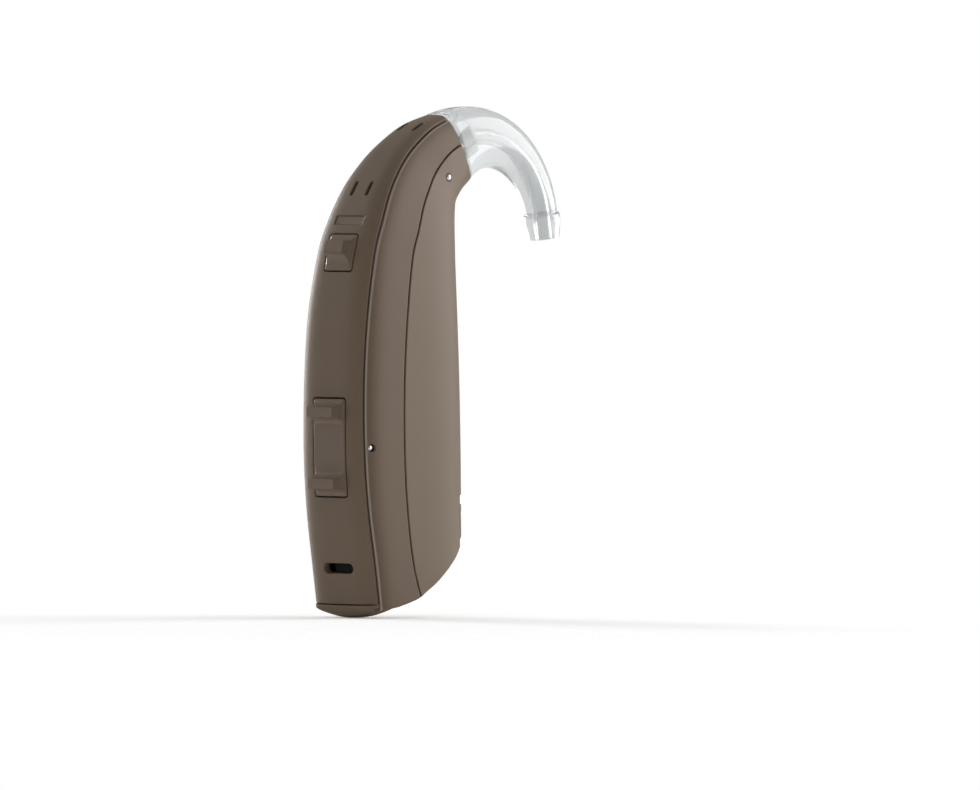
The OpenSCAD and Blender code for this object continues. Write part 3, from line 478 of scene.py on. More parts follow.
looks = {
    "cover": mouldedPlastic("coverPlastic", linear(118, 101, 84), 0.47, Specular_IOR_Level=0.28),
    # The frame bands carry a painted highlight in this light edge colour along the rounding of their first rim
    "frame": mouldedPlastic("framePlastic", linear(111, 95, 80), 0.5, edge=linear(190, 179, 167),
                            Specular_IOR_Level=0.22),
    "control": mouldedPlastic("controlPlastic", linear(118, 101, 85), 0.4, grain=0.0014,
                              Specular_IOR_Level=0.4),
    "inlay": mouldedPlastic("inlayPlastic", linear(114, 99, 84), 0.42, grain=0.001),
    "dark": mouldedPlastic("sliderPlastic", linear(9, 8, 8), 0.7, Specular_IOR_Level=0.15),
    "spout": mouldedPlastic("spoutPlastic", linear(150, 152, 150), 0.35, grain=0.001),
    "rubber": mouldedPlastic("softRubber", linear(48, 47, 46), 0.75, grain=0.004),
    "clearRubber": mouldedPlastic("clearSilicone", linear(214, 216, 214), 0.3, Alpha=0.55),
    "board": mouldedPlastic("boardMask", linear(36, 84, 52), 0.32, mottle=0.12),
    "chip": mouldedPlastic("chipPackage", linear(34, 34, 37), 0.55, mottle=0.1),
    "grommet": mouldedPlastic("cellRing", linear(52, 104, 140), 0.35),
    "steel": drawnMetal("brightSteel", linear(226, 227, 229), 0.22),
    "can": drawnMetal("canSteel", linear(196, 197, 199), 0.3),
    "cell": drawnMetal("cellSteel", linear(206, 206, 205), 0.27),
    "brass": drawnMetal("giltSpring", linear(214, 186, 118), 0.3),
    "gilt": drawnMetal("giltCan", linear(206, 190, 142), 0.34),
    "coil": woundCopper("coilCopper"),
    "clear": clearPlastic("hookClear"),
}
print("finishes made:", len(looks))


def upright(z):
    # The spine's place and its direction at a height, in the X and Z plane
    t = stationOf(z)
    way = sectionFacts(min(t + 0.1, lastRow))["spine"] - sectionFacts(t - 0.1)["spine"]
    return sectionFacts(t)["spine"] - [case["footX"], 0], way / np.linalg.norm(way)


def boxGap(across, up, halfWidth, top):
    # Distance outside a box that is open below: the run past its corner, or the nearer side from inside
    across, up = np.abs(across) - halfWidth, up - top
    return np.hypot(np.clip(across, 0, None), np.clip(up, 0, None)) + np.minimum(np.maximum(across, up), 0)


def rectangleGap(z, width, length, corner, shift=0.0):
    # Distance outside a round-cornered rectangle drawn on the spine, with points read across and along it
    place, along = upright(z)

    def distance(p):
        s = (p[..., 0] - place[0]) * along[0] + (p[..., 2] - place[1]) * along[1]
        return boxGap(p[..., 1] - shift, np.abs(s), width / 2 - corner, length / 2 - corner) - corner
    return distance


def roundGap(x, z, radius):
    # Distance outside a round hole that runs across the body
    return lambda p: np.hypot(p[..., 0] - x + case["footX"], p[..., 2] - z) - radius


def underGap(p):
    # Height above the lower edge of the side walls, which is set lower toward the front
    x = p[..., 0] + case["footX"]
    edge = underLine(0, fineness["underSteps"])
    rise = np.interp(x, edge[:, 0], edge[:, 1])
    slope = np.interp(x, edge[:, 0], np.gradient(edge[:, 1], edge[:, 0]))
    lowered = case["lowerEdge"] * np.clip((x - case["lowerFrom"]) / case["lowerOver"], 0, 1)
    return (p[..., 2] - rise) / np.sqrt(1 + slope ** 2) + lowered


# Spine shell: microphone slots, and the windows of the rocker, the button, the lock and the inlay
microphones = dict(frontZ=48.7, rearZ=42.55, slotLength=1.7, slotWidth=0.42, pitch=2.1, edgeRound=0.05)
rocker = dict(z=16.9, width=4.6, length=9.9, axleIn=1.3, ridgeHeight=1.45, ridgeLength=2.7, ridgeFlat=0.95,
              ridgeEnd=0.8, ridgeFlatWidth=3.55)
button = dict(z=36.2, width=4.0, length=3.9, height=1.2, top=1.25, topWidth=2.5, topUp=0.35)
window = dict(corner=0.3, edgeRound=0.1, gap=0.12)
lock = dict(z=4.9, width=4.1, length=1.03, corner=0.515, edgeRound=0.07)
inlay = dict(z=39.4, width=3.9, length=1.0, corner=0.1, edgeRound=0.04)
slotWidth, slotLength = microphones["slotWidth"], microphones["slotLength"]
spineOpenings = [(rectangleGap(z, slotWidth, slotLength, slotWidth / 2, side * microphones["pitch"] / 2),
                  microphones["edgeRound"])
                 for z in (microphones["frontZ"], microphones["rearZ"]) for side in (-1, 1)]
spineOpenings += [(rectangleGap(part["z"], part["width"], part["length"], part["corner"]), part["edgeRound"])
                  for part in (rocker | window, button | window, lock, inlay)]
spineEdge = firstSeam(-case["seamGap"] / 2)
spineGrid = bandGrid(stationOf(case["gripTop"]), lambda t: -spineEdge(t), spineEdge, fineness["spineColumns"])
addPiece("spine_shell", trimmedShell(*spineGrid, spineOpenings, case["wall"], case["spineRound"]), "housing",
         "cover", stands=["spine_cover"])

# Frame bands on both flanks, with the hole of the rocker's axle
pins = dict(size=0.62, hole=0.78, holeRound=0.05, dome=0.13, coverX=13.7, coverZ=43.6)
axleX = float(sectionFacts(stationOf(rocker["z"]))["spine"][0]) + rocker["axleIn"]
sideHoles = [(underGap, case["underRound"]),
             (roundGap(axleX, rocker["z"], pins["hole"] / 2), pins["holeRound"])]
bandSurface = bandGrid(0.0, firstSeam(case["seamGap"] / 2), secondSeam(-case["seamGap"] / 2),
                       fineness["bandColumns"])
band = trimmedShell(*bandSurface, sideHoles, case["wall"], case["bandRound"])
flanks = {"left": -1, "right": 1}
for name, side in flanks.items():
    addPiece("frame_band_" + name, mirrored(band, side), "housing", "frame",
             stands=["mid_frame"] if side < 0 else ())

# Tongues behind both seams, so that no light passes through the grooves
seams = dict(lip=0.4, forwardLip=0.2, sunk=0.42, back=0.72, edgeRound=0.02, fromStation=0.15)
seamLines = {"one": (firstSeam(-seams["lip"]), firstSeam(seams["forwardLip"])),
             "two": (secondSeam(-seams["lip"]), secondSeam(seams["lip"]))}
for seamName, seamEdges in seamLines.items():
    grid, rim = bandGrid(seams["fromStation"], *seamEdges, fineness["tongueColumns"])
    sharpRim, edgeRound = rim * 0 + 1, seams["edgeRound"]
    tongue = trimmedShell(grid, sharpRim, [(underGap, edgeRound)], seams["back"], edgeRound, seams["sunk"])
    for name, side in flanks.items():
        addPiece("seam_tongue_%s_%s" % (seamName, name), mirrored(tongue, side), "housing", "frame")

# Front shell, with the hole of the cover pin and the opening for the door, whose sizes stand here too
door = dict(hingeX=14.05, hingeZ=11.6, width=8.0, gap=0.1, openingBelow=0.65, openingAbove=1.65,
            openingHalf=3.3, openingFrom=9.0, gripTop=1.24, heel=((0.06, 0.8), (0.24, 0.34), (0.62, 0.06)),
            foot=((2.6, 0.0), (4.5, 0.0), (5.4, 0.24), (6.3, 0.78)), edgeFromRow=2.4, edgeSteps=40,
            frontLow=10.9, roll=1.52, rollTurn=125, rollSteps=22, points=260, smoothings=14, columns=90,
            crowding=1.6, wall=0.8, innerShare=0.96, gripHalf=4.38, sideHalf=4.0, narrowFrom=2.4,
            narrowOver=0.7, knuckleHalf=3.2, knuckleLow=10.1, knuckleOver=0.12, gripRound=1.1, sideRound=0.3,
            roundFrom=2.6, roundOver=4.5, endRound=0.1, frontFrom=9.0, crown=0.9, crownPower=1.8,
            crownFade=2.0, sillBack=0.9, sillUp=0.08, skinGap=0.03, bodyTop=14)


def doorGap(p):
    # Distance outside the front opening: the door's width below the hinge, its barrel's width beside it
    elsewhere = np.where(p[..., 0] + case["footX"] > door["openingFrom"], 0.0, case["height"])
    low = boxGap(p[..., 1], p[..., 2], door["width"] / 2 + door["gap"], door["hingeZ"] - door["openingBelow"])
    high = boxGap(p[..., 1], p[..., 2], door["openingHalf"], door["hingeZ"] + door["openingAbove"])
    return np.minimum(low, high) + elsewhere


frontEdge = secondSeam(case["seamGap"] / 2)
frontHoles = [(underGap, case["underRound"]),
              (roundGap(pins["coverX"], pins["coverZ"], pins["hole"] / 2), pins["holeRound"]),
              (doorGap, door["endRound"])]
frontGrid = bandGrid(0.0, frontEdge, lambda t: 2 * np.pi - frontEdge(t), fineness["frontColumns"])
addPiece("front_shell", trimmedShell(*frontGrid, frontHoles, case["wall"], case["frontRound"]), "housing",
         "cover", stands=["front_cover"])
print("shell made")


def roundAngles(sides):
    # Even angles once round
    return np.linspace(0, 2 * np.pi, sides, endpoint=False)


def turnedAcross(profile, place, sides):
    # A profile of (radius, run) pairs turned about a line that runs across the body through a place
    q = roundAngles(sides)
    circle = np.stack([np.cos(q), 0 * q, -np.sin(q)], -1)
    return [np.array(place) + [0, run, 0] + circle * radius for radius, run in profile]


def eased(points, radius, steps=4):
    # Rounds the corners of a (radius, run) profile with quadratic arcs
    points = np.array(points, float)
    out = [points[0]]
    for a, b, c in zip(points, points[1:], points[2:]):
        r = min(radius, np.linalg.norm(b - a) / 2, np.linalg.norm(c - b) / 2)
        start, end = b + (a - b) / np.linalg.norm(a - b) * r, b + (c - b) / np.linalg.norm(c - b) * r
        out += [start * (1 - u) ** 2 + 2 * b * u * (1 - u) + end * u ** 2
                for u in np.linspace(0, 1, steps + 1)]
    return out + [points[-1]]


def doorLine():
    # The door's outline from the side: grip, heel, foot, under edge, front and the roll round the hinge, set
    # at even runs and smoothed
    grip = sectionFacts(stationOf(case["gripTop"]))["spine"][0]
    heel = [[grip, door["gripTop"]]] + [[grip + x, z] for x, z in door["heel"]]
    roll = np.radians(np.linspace(0, door["rollTurn"], door["rollSteps"]))
    centre = np.array([door["hingeX"], door["hingeZ"]])
    arc = centre + door["roll"] * np.stack([np.cos(roll), np.sin(roll)], -1)
    line = np.concatenate([heel, door["foot"], underLine(door["edgeFromRow"], door["edgeSteps"]),
                           [[centre[0] + door["roll"], door["frontLow"]]], arc])
    run = runsAlong(line)
    even = np.linspace(0, run[-1], door["points"])
    smooth = np.stack([np.interp(even, run, line[:, k]) for k in (0, 1)], -1)
    for turn in range(door["smoothings"]):
        smooth[1:-1] = smooth[1:-1] / 2 + (smooth[:-2] + smooth[2:]) / 4
    return smooth


def frontReach(y, z):
    # How far forward the body's front superellipse lies at a width and a height
    s = sectionFacts(np.interp(np.clip(z, 0, door["bodyTop"]), spineFine[:, 1], stationFine))
    return s["spine"][..., 0] - case["footX"] + s["widest"] + (s["depth"] - s["widest"]) * (
        1 - np.abs(y / s["half"]) ** s["fore"]) ** (1 / s["fore"])


def doorShape():
    # The outline carried across, drawn in by a round edge at both sides, full at the grip and fine in front.
    # The underside rises toward both sides by a power of the width, and the body's surface limits the front
    line = doorLine()
    x, z = line[:, 0], line[:, 1]
    way = np.gradient(line, axis=0)
    way /= np.linalg.norm(way, axis=1, keepdims=True)
    inwardWay = np.stack([-way[:, 1], way[:, 0]], -1)
    fade = np.clip((x - door["roundFrom"]) / door["roundOver"], 0, 1)
    fade = np.where(z > door["frontFrom"], 1, fade * fade * (3 - 2 * fade))
    roundness = door["gripRound"] + (door["sideRound"] - door["gripRound"]) * fade
    narrow = np.clip((x - door["narrowFrom"]) / door["narrowOver"], 0, 1)
    knuckle = np.clip((z - door["knuckleLow"]) / door["knuckleOver"], 0, 1)
    half = door["gripHalf"] + (door["sideHalf"] - door["gripHalf"]) * narrow
    half -= (door["sideHalf"] - door["knuckleHalf"]) * knuckle
    share = np.linspace(-1, 1, door["columns"])
    share = np.sign(share) * (1 - (1 - np.abs(share)) ** door["crowding"])
    y = share[None, :] * half[:, None]
    run = runsAlong(line)
    drop = filletDrop(half[:, None] - np.abs(y), roundness[:, None] * np.ones_like(y))
    drop = np.maximum(drop, filletDrop(np.minimum(run, run[-1] - run), door["endRound"])[:, None])

    def sheet(width, depth):
        return np.stack([line[:, :1] + inwardWay[:, :1] * depth - case["footX"], width,
                         line[:, 1:] + inwardWay[:, 1:] * depth], -1)

    outer, inner = sheet(y, drop), sheet(y * door["innerShare"], door["wall"] + 0 * y)
    edge = underLine(0, fineness["underSteps"])
    sill = np.maximum(door["crown"], np.interp(x - door["sillBack"], edge[:, 0], edge[:, 1]) + door["sillUp"])
    rise = np.clip(sill - z, 0, None) * np.clip((door["frontFrom"] - x) / door["crownFade"], 0, 1)
    for face, depth in ((outer, door["skinGap"]), (inner, door["wall"])):
        face[..., 2] += rise[:, None] * np.abs(y / door["gripHalf"]) ** door["crownPower"]
        inside = np.minimum(face[..., 0], frontReach(face[..., 1], face[..., 2]) - depth)
        face[..., 0] = np.where(x[:, None] > door["frontFrom"], inside, face[..., 0])
    return gridSheet(outer, inner)


def slab(outline, low, high, axis="y"):
    # A flat outline with thickness, read as x and z for a slab across y, and as x and y for one along z
    outline = np.array(outline, float)
    n = len(outline)
    both = [np.insert(outline, 1 if axis == "y" else 2, level, axis=1) for level in (low, high)]
    ring = list(range(n))
    faces = [ring[::-1], [k + n for k in ring]] + [[k, (k + 1) % n, (k + 1) % n + n, k + n] for k in ring]
    return np.concatenate(both) - [case["footX"], 0, 0], faces


def easeEdges(piece, width):
    # Rounds the sharp edges of a slab
    bevel = piece.modifiers.new("easedEdges", "BEVEL")
    bevel.width, bevel.segments, bevel.limit_method = width * 0.001, 3, "ANGLE"
    bevel.angle_limit = math.radians(35)


addPiece("door_shell", doorShape(), "door", "cover", crease=50, stands=["battery_door"])

# Cheeks beside the cell, notched round it
cheeks = dict(back=3.9, front=12.4, top=8.4, under=((3.9, 1.5), (7.4, 1.9), (10.2, 3.2), (12.4, 5.0)),
              cellX=7.35, cellZ=9.4, notch=4.4, notchFrom=-14, notchTo=-166, middle=3.4, halfThick=0.5,
              ease=0.08)
notchAngles = np.radians(np.linspace(cheeks["notchFrom"], cheeks["notchTo"], 40))
notch = [[cheeks["cellX"] + cheeks["notch"] * math.cos(a), cheeks["cellZ"] + cheeks["notch"] * math.sin(a)]
         for a in notchAngles]
cheekLine = [[cheeks["back"], cheeks["top"]], *cheeks["under"], [cheeks["front"], cheeks["top"]]] + notch
for name, side in flanks.items():
    low, high = (side * cheeks["middle"] + way * cheeks["halfThick"] for way in (-1, 1))
    cheek = addPiece("cell_cheek_" + name, slab(cheekLine, low, high), "door", "cover", crease=35)
    easeEdges(cheek, cheeks["ease"])

# Hinge: the door's barrel between the two lugs of the case
hinge = dict(barrelLength=6.2, barrelHole=0.53, barrelRadius=1.1, lugLength=0.8, lugHole=0.5, lugRadius=1.4,
             lugMiddle=3.75, ease=0.06, rows=9, sides=48)


def bushing(length, hole, radius, middle):
    # A sleeve round the hinge line with eased ends, kept inside the body's surface
    low, high = middle - length / 2, middle + length / 2
    wall = [(radius, run) for run in np.linspace(low, high, hinge["rows"])]
    line = eased([(hole, low)] + wall + [(hole, high)], hinge["ease"])
    place = (door["hingeX"] - case["footX"], 0, door["hingeZ"])
    rings = np.array(turnedAcross(line, place, hinge["sides"]))
    rings[..., 0] = np.minimum(rings[..., 0], frontReach(rings[..., 1], rings[..., 2]))
    return ringSurface(rings, loop=True)


barrel = bushing(hinge["barrelLength"], hinge["barrelHole"], hinge["barrelRadius"], 0)
addPiece("hinge_barrel", barrel, "door", "cover")
for name, side in flanks.items():
    lug = bushing(hinge["lugLength"], hinge["lugHole"], hinge["lugRadius"], side * hinge["lugMiddle"])
    addPiece("hinge_lug_" + name, lug, "housing", "cover")

# Webs that tie the flanks: height, back end and front end of each
webs = {"battery_roof": (17.7, 2.3, 12.4), "receiver_shelf": (31.3, 3.4, 13.2)}
web = dict(thick=0.7, intoWall=0.15, shoulderRun=2.5, noseRun=0.8, shoulderShare=0.75, noseShare=0.45,
           ease=0.1)
for name, (z, back, reach) in webs.items():
    wide = float(sectionFacts(stationOf(z))["half"]) - case["wall"] + web["intoWall"]
    flank = [[back, wide], [reach - web["shoulderRun"], wide],
             [reach - web["noseRun"], wide * web["shoulderShare"]], [reach, wide * web["noseShare"]]]
    outline = [[back, -wide]] + flank + [[x, -y] for x, y in flank[:0:-1]]
    piece = addPiece(name, slab(outline, z, z + web["thick"], "z"), "housing", "frame", crease=35)
    easeEdges(piece, web["ease"])
print("door and webs made")

# Rocker and button caps
thumb = dict(plate=0.9, topEdge=0.1, crestRun=1.2, crestDrop=3.4, cornerRound=0.25, borderRound=0.11,
             blend=0.035)
borderRuns = np.array([0, 0.012, 0.035, 0.07, 0.12])


def flaredProfile(low, topLow, topHigh, high, height):
    # A side view of a thumb form: concave quarter sweeps up from both ends to a flat top with eased edges
    turn = np.linspace(0, 1, 26)
    sweep = np.stack([1 - np.sin(turn * np.pi / 2), 1 - np.cos(turn * np.pi / 2)], -1)
    rising = np.stack([topLow + (low - topLow) * sweep[:, 0], height * sweep[:, 1]], -1)
    falling = np.stack([topHigh + (high - topHigh) * sweep[::-1, 0], height * sweep[::-1, 1]], -1)
    edge, ease, even = thumb["topEdge"], np.linspace(0, 1, 6)[1:], np.linspace(0, 1, 9)[1:-1]
    across = np.concatenate([topLow + edge * ease, topLow + edge + (topHigh - topLow - 2 * edge) * even,
                             topHigh - edge * ease[::-1]])
    line = np.concatenate([rising, np.stack([across, np.full(len(across), height)], -1), falling])
    crest = np.clip(line[:, 1] - height + edge * thumb["crestRun"], 0, None)
    line[:, 1] -= crest ** 2 / (edge * thumb["crestDrop"])
    return line


def borderSteps(line, low, high):
    # Adds fine rows at both ends of a profile for the eased border
    clear = borderRuns[-1] + 0.01
    inside = line[(line[:, 0] > low + clear) & (line[:, 0] < high - clear)]
    start, end = low + borderRuns, high - borderRuns[::-1]
    return np.concatenate([np.stack([start, np.interp(start, line[:, 0], line[:, 1])], -1), inside,
                           np.stack([end, np.interp(end, line[:, 0], line[:, 1])], -1)])


def capHalves(control):
    # Half the length and half the width of a cap, which is smaller than its window by a gap all round
    return control["length"] / 2 - window["gap"], control["width"] / 2 - window["gap"]


def thumbPiece(control, profile, across):
    # A plate that follows the spine, lifted by the soft minimum of both profiles less the drop of the eased
    # border, with its corners pulled in to a radius and a flat back
    half, halfWidth = capHalves(control)
    place, along = upright(control["z"])
    profile, across = borderSteps(profile, -half, half), borderSteps(across, -halfWidth, halfWidth)
    s, y = profile[:, 0][:, None], across[:, 0][None, :]
    soft, corner = thumb["blend"], thumb["cornerRound"]
    lift = -soft * np.log(np.exp(-profile[:, 1][:, None] / soft) + np.exp(-across[:, 1][None, :] / soft))
    lift = np.clip(lift + soft * np.log(2) * np.exp(-lift / soft), 0, None)
    overS = np.clip(np.abs(s) - half + corner, 0, None)
    overY = np.clip(np.abs(y) - halfWidth + corner, 0, None)
    over = np.hypot(overS, overY)
    run = np.minimum(np.minimum(half - np.abs(s), halfWidth - np.abs(y)), corner - over)
    lift = lift - filletDrop(np.clip(run, 0, None), thumb["borderRound"])
    pull = np.clip(over - corner, 0, None) / np.clip(over, 0.01, None)
    s, y = s - np.sign(s) * overS * pull, y - np.sign(y) * overY * pull
    up = place[1] + s * along[1]
    back = np.interp(up, spineFine[:, 1], spineFine[:, 0]) - case["footX"]
    return gridSheet(np.stack([back - lift * along[1], y, up + lift * along[0]], -1),
                     np.stack([back + thumb["plate"] * along[1], y, up - thumb["plate"] * along[0]], -1))


half, halfWidth = capHalves(rocker)
ridgeTop, flatHalf = half - rocker["ridgeEnd"], rocker["ridgeFlatWidth"] / 2
ridge = flaredProfile(half - rocker["ridgeLength"], ridgeTop - rocker["ridgeFlat"], ridgeTop, half,
                      rocker["ridgeHeight"])
waistHalf = ridge[0, 0] - 0.05
waist = np.stack([np.linspace(-waistHalf, waistHalf, 40), np.zeros(40)], -1)
rockerLine = np.concatenate([ridge[::-1] * [-1, 1], waist, ridge])
rockerAcross = flaredProfile(-halfWidth, -flatHalf, flatHalf, halfWidth, rocker["ridgeHeight"])
addPiece("rocker_cap", thumbPiece(rocker, rockerLine, rockerAcross), "rocker", "control", crease=60,
         stands=["volume_rocker"])

half, halfWidth = capHalves(button)
topHalf, flatHalf = button["top"] / 2, button["topWidth"] / 2
buttonLine = flaredProfile(-half, button["topUp"] - topHalf, button["topUp"] + topHalf, half, button["height"])
buttonAcross = flaredProfile(-halfWidth, -flatHalf, flatHalf, halfWidth, button["height"])
addPiece("button_cap", thumbPiece(button, buttonLine, buttonAcross), "button", "control", crease=60,
         stands=["push_button"])
print("controls made")

# Clear ear hook: outer wall, collar, sound channel, thread socket and seal room as one loop of rings
hook = dict(radius=9.3, sweep=107, arc=17.0, tip=3.27, channel=1.3, channelFrom=0.16, footRound=0.12,
            gap=0.08, collar=3.7, collarEnd=3.1, collarLength=2.4, land=0.7, step=0.12, stepRun=0.1,
            stepOut=0.02, lip=0.1, neck=3.2, neckLength=2.4, neckGap=0.1, neckRoof=0.18, throat=0.3,
            sealRoom=0.54, sealWidth=0.46, power=3.2, fadePower=1.5, sides=120, rings=96, channelRings=70)
endFacts = sectionFacts(lastRow)
inWay = endFacts["inward"]
outWay = np.array([-inWay[1], inWay[0]])
joint = (endFacts["spine"] + inWay * endFacts["depth"] / 2) - [case["footX"], 0]


def fromJoint(inward, y, out):
    # A place given inward, across and outward from the middle of the hook joint
    return np.stack([joint[0] + inWay[0] * inward + outWay[0] * out, y + 0 * inward,
                     joint[1] + inWay[1] * inward + outWay[1] * out], -1)


def hookRing(share, halfDeep, halfWide, power, extra=0.0):
    # A superellipse across the hook's arc at a share of its sweep, pushed on past the tip by extra
    q = roundAngles(hook["sides"])
    p = halfDeep * np.sign(np.cos(q)) * np.abs(np.cos(q)) ** (2 / power)
    y = halfWide * np.sign(np.sin(q)) * np.abs(np.sin(q)) ** (2 / power)
    a = math.radians(share * hook["sweep"])
    r = hook["radius"] + p
    return fromJoint(hook["radius"] - r * math.cos(a) + extra * math.sin(a), y,
                     hook["gap"] + r * math.sin(a) + extra * math.cos(a))


def circleRing(radius, out, sides=hook["sides"]):
    # A circle about the joint's axis at a height above the joint; the radius may change round it
    q = roundAngles(sides)
    return fromJoint(-radius * np.cos(q), radius * np.sin(q), out + 0 * q)


jointHalf = (float(endFacts["depth"]) / 2, float(endFacts["half"]))
rings = []
for share in np.linspace(0, 1, hook["rings"]):
    fade = (1 - share) ** hook["fadePower"]
    deep, wide = (hook["tip"] / 2 * (1 - fade) + h * fade for h in jointHalf)
    drop = float(filletDrop(share * hook["arc"], hook["footRound"]))
    rings.append(hookRing(share, deep - drop, wide - drop, 2 + (hook["power"] - 2) * fade))
tip, bore, end = hook["tip"] / 2, hook["channel"] / 2, hook["collarLength"]
collar = eased([(tip, -hook["step"]), (tip + hook["stepOut"], -hook["stepRun"]), (hook["collar"] / 2, 0.0),
                (hook["collar"] / 2, hook["land"]), (hook["collarEnd"] / 2, end), (bore + hook["lip"], end),
                (bore, end - hook["lip"]), (bore, 0.0)], 0.09, 5)
rings = rings[:-2] + [hookRing(1, r, r, 2, run) for r, run in collar]
rings += [hookRing(share, bore, bore, 2)
          for share in np.linspace(1, hook["channelFrom"], hook["channelRings"])[1:]]
neck, roof = hook["neck"] / 2 + hook["neckGap"], hook["neckLength"] + hook["neckRoof"]
sealOut = hook["neck"] / 2 + hook["sealWidth"]
socket = eased([(bore, hook["neckLength"] + hook["throat"]), (bore, roof), (neck, roof),
                (neck, hook["sealRoom"]), (sealOut, hook["sealRoom"]), (sealOut, hook["gap"])], 0.05, 3)
rings += [circleRing(r, out) for r, out in socket]
rings += [rings[0] * share + rings[-1] * (1 - share) for share in (0.3, 0.6, 0.85)]
addPiece("clear_hook", ringSurface(rings, loop=True), "hook", "clear", crease=50, stands=["ear_hook"])

# Spout thread: rings whose radius rises where the screw line passes
thread = dict(start=0.5, endGap=0.05, pitch=0.5, inset=0.02, height=0.09, bore=1.5, steep=4.0, wide=1.25,
              runOut=6.0, sides=72, rows=110)
threadEnd = hook["neckLength"] - thread["endGap"]
q = roundAngles(thread["sides"])
threadRings = []
for out in np.linspace(thread["start"], threadEnd, thread["rows"]):
    wave = (out / thread["pitch"] - q / (2 * np.pi)) % 1
    crest = np.clip(thread["wide"] - np.abs(wave - 0.5) * thread["steep"], 0, 1)
    crest = crest * np.clip(min(out - thread["start"], threadEnd - out) * thread["runOut"], 0, 1)
    radius = hook["neck"] / 2 - thread["inset"] + thread["height"] * crest
    threadRings.append(circleRing(radius, out, thread["sides"]))
threadRings += [circleRing(thread["bore"], out, thread["sides"]) for out in (threadEnd, thread["start"])]
addPiece("spout_thread", ringSurface(threadRings, loop=True), "housing", "spout", crease=60)

# Rocker axle and cover pin, with domed ends
for name, x, z, node in (("rocker_axle", axleX, rocker["z"], "rocker_pin"),
                         ("cover_cross_pin", pins["coverX"], pins["coverZ"], "cover_pin")):
    reach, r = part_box(node)[1].y * 1000, pins["size"] / 2
    dome = [(r * math.sin(u), reach - pins["dome"] + pins["dome"] * math.cos(u))
            for u in np.linspace(0.06, math.pi / 2, 12)]
    profile = dome + [(r, 0.0)] + [(a, -b) for a, b in dome[::-1]]
    addPiece(name, ringSurface(turnedAcross(profile, (x - case["footX"], 0, z), 40)), "housing", "steel",
             stands=[node])
print("hook and pins made")

# Finishes of the solids that stay
nodeLooks = {
    "inlay": ["label_inlay"], "steel": ["door_hinge_pin"], "spout": ["sound_spout"], "chip": ["processor_chip"],
    "board": ["circuit_board"], "coil": ["telecoil"], "grommet": ["battery_grommet"], "dark": ["lock_slider"],
    "brass": ["antenna_strip", "positive_contact", "negative_contact"], "clearRubber": ["receiver_tube"],
    "rubber": ["receiver_cradle", "front_mic_seal", "rear_mic_seal", "hook_seal"],
    "can": ["receiver", "button_switch", "rocker_switches"], "gilt": ["front_microphone", "rear_microphone"],
    "cell": ["battery_can", "battery_cap"]}
for look, nodes in nodeLooks.items():
    for node in nodes:
        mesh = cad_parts[node].data
        mesh.materials.clear()
        mesh.materials.append(looks[look])
print("inner parts dressed:", sum(map(len, nodeLooks.values())))

# Camera, lights, world and floor: lights and distances in metres, what follows the photograph in millimetres
stage = dict(azimuth=-45.0, elevation=1.0, distance=1.6, pixelsPerMm=10.1, photoWidth=980, sensor=36,
             aimAcross=18.95, aimUp=22.08, aimBack=1.0, middle=(0.004, 0, 0.025), nearLevel=0.29, farLevel=0.5,
             nearFrom=0.75, farFrom=-0.1, floorReach=75.0, floorGlow=0.25, floorHalf=1, floorDrop=0.00002)
panels = {"rightPanel": dict(across=0.40, toward=-0.10, up=0.04, size=(0.30, 0.40), level=1.02),
          "leftPanel": dict(across=-0.36, toward=-0.36, up=0.03, size=(0.16, 0.40), level=0.95),
          "topPanel": dict(across=0.02, toward=0.10, up=0.45, size=(0.40, 0.40), level=0.05)}


def aimed(thing, place, target):
    # Puts a camera or a light at a place and turns its -Z toward the target
    thing.location = place
    thing.rotation_euler = (Vector(target) - Vector(place)).to_track_quat("-Z", "Y").to_euler()


cameraData = bpy.data.cameras.new("photoCamera")
camera = bpy.data.objects.new("photoCamera", cameraData)
bpy.context.scene.collection.objects.link(camera)
target = np.array([stage["aimAcross"] / 2 - stage["aimBack"], -stage["aimAcross"] / 2 - stage["aimBack"],
                   stage["aimUp"]]) * 0.001
tilt, turn = math.radians(stage["elevation"]), math.radians(stage["azimuth"])
back = np.array([math.sin(turn) * math.cos(tilt), -math.cos(turn) * math.cos(tilt), math.sin(tilt)])
aimed(camera, target + back * stage["distance"], target)
cameraData.sensor_width = stage["sensor"]
cameraData.lens = stage["distance"] * stage["sensor"] / (stage["photoWidth"] / stage["pixelsPerMm"] * 0.001)
cameraData.clip_start, cameraData.clip_end = 0.01, 20
bpy.context.scene.camera = camera


def softBox(name, across, toward, up, size, level):
    # An even panel light across, toward the camera and up from the object; level 1 lights white to white
    right = np.array([math.cos(turn), math.sin(turn), 0])
    near = np.array([math.sin(turn), -math.cos(turn), 0])
    place = np.array(stage["middle"]) + right * across + near * toward + np.array([0, 0, up])
    data = bpy.data.lights.new(name, "AREA")
    data.shape, data.size, data.size_y = "RECTANGLE", size[0], size[1]
    distance = np.linalg.norm([across, toward, up])
    data.energy = level * math.pi ** 2 * distance ** 2
    light = bpy.data.objects.new(name, data)
    bpy.context.scene.collection.objects.link(light)
    aimed(light, place, stage["middle"])


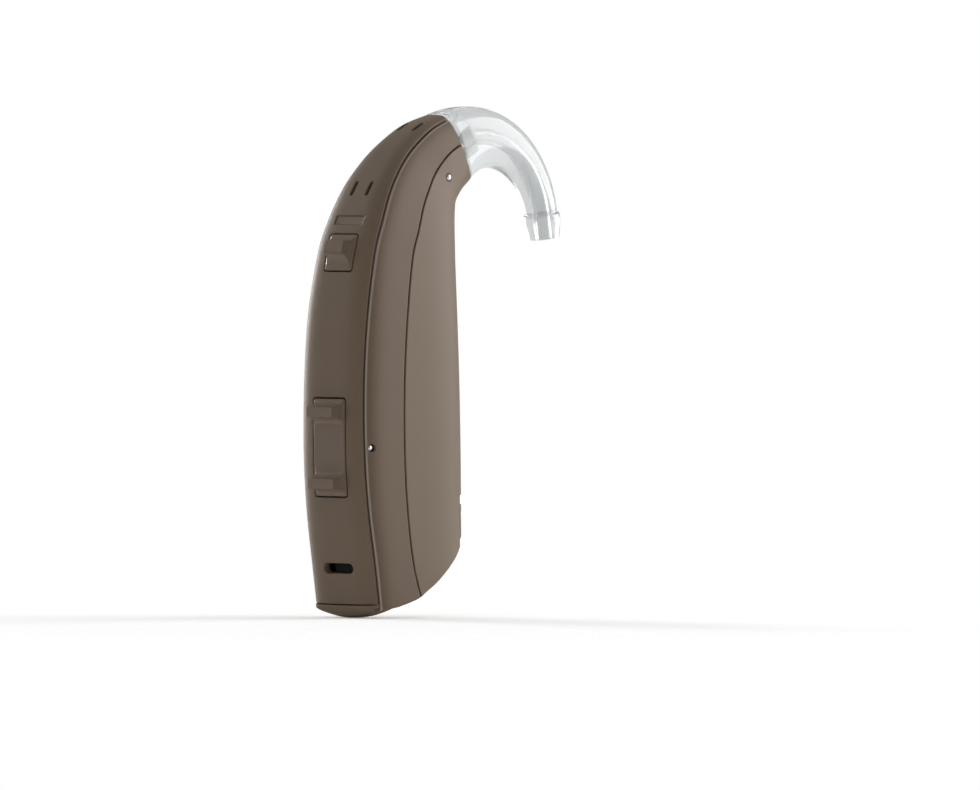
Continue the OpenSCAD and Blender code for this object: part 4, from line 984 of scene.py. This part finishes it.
for name, panel in panels.items():
    softBox(name, **panel)

world = bpy.data.worlds.new("studio")
bpy.context.scene.world = world
world.use_nodes = True


class Studio(Look):
    # The same node writing for the world
    def __init__(self, tree, shader):
        self.tree, self.shader = tree, shader


room = Studio(world.node_tree, world.node_tree.nodes["Background"])
seen = room.node("ShaderNodeLightPath", {}, {}, "Is Camera Ray")
through = Field(room, seen.socket.node.outputs["Is Transmission Ray"])
toward = room.node("ShaderNodeVectorMath", {"operation": "DOT_PRODUCT"},
                   {0: room.node("ShaderNodeTexCoord", {}, {}, "Generated"),
                    1: (math.sin(turn), -math.cos(turn), 0)}, "Value")
dim = room.node("ShaderNodeMapRange", {"interpolation_type": "SMOOTHSTEP"},
                {"Value": toward, "From Min": stage["farFrom"], "From Max": stage["nearFrom"],
                 "To Min": stage["farLevel"], "To Max": stage["nearLevel"]})
room.feed("Strength", seen.most(through).most(dim))
room.shader.inputs["Color"].default_value = (1, 1, 1, 1)

floorMesh = bpy.data.meshes.new("floor")
floorCorners = [(x * stage["floorHalf"], y * stage["floorHalf"], -stage["floorDrop"])
                for x, y in ((-1, -1), (1, -1), (1, 1), (-1, 1))]
floorMesh.from_pydata(floorCorners, [], [[0, 1, 2, 3]])
floor = bpy.data.objects.new("floor", floorMesh)
bpy.context.scene.collection.objects.link(floor)
paper = Look("floorWhite", Base_Color=(1, 1, 1, 1), Roughness=0.9, Emission_Color=(1, 1, 1, 1))
seen = paper.node("ShaderNodeLightPath", {}, {}, "Is Camera Ray")
paper.feed("Emission Strength", seen * stage["floorGlow"])
reach = paper.node("ShaderNodeVectorMath", {"operation": "LENGTH"}, {0: paper.place}, "Value")
edge = paper.node("ShaderNodeMapRange", {"interpolation_type": "SMOOTHSTEP"},
                  {"Value": reach, "From Min": stage["floorReach"] / 2, "From Max": stage["floorReach"]})
paper.feed("Alpha", 1 - edge * seen)
floorMesh.materials.append(paper.material)

view = bpy.context.scene.view_settings
view.view_transform = "Standard"
print("scene made")
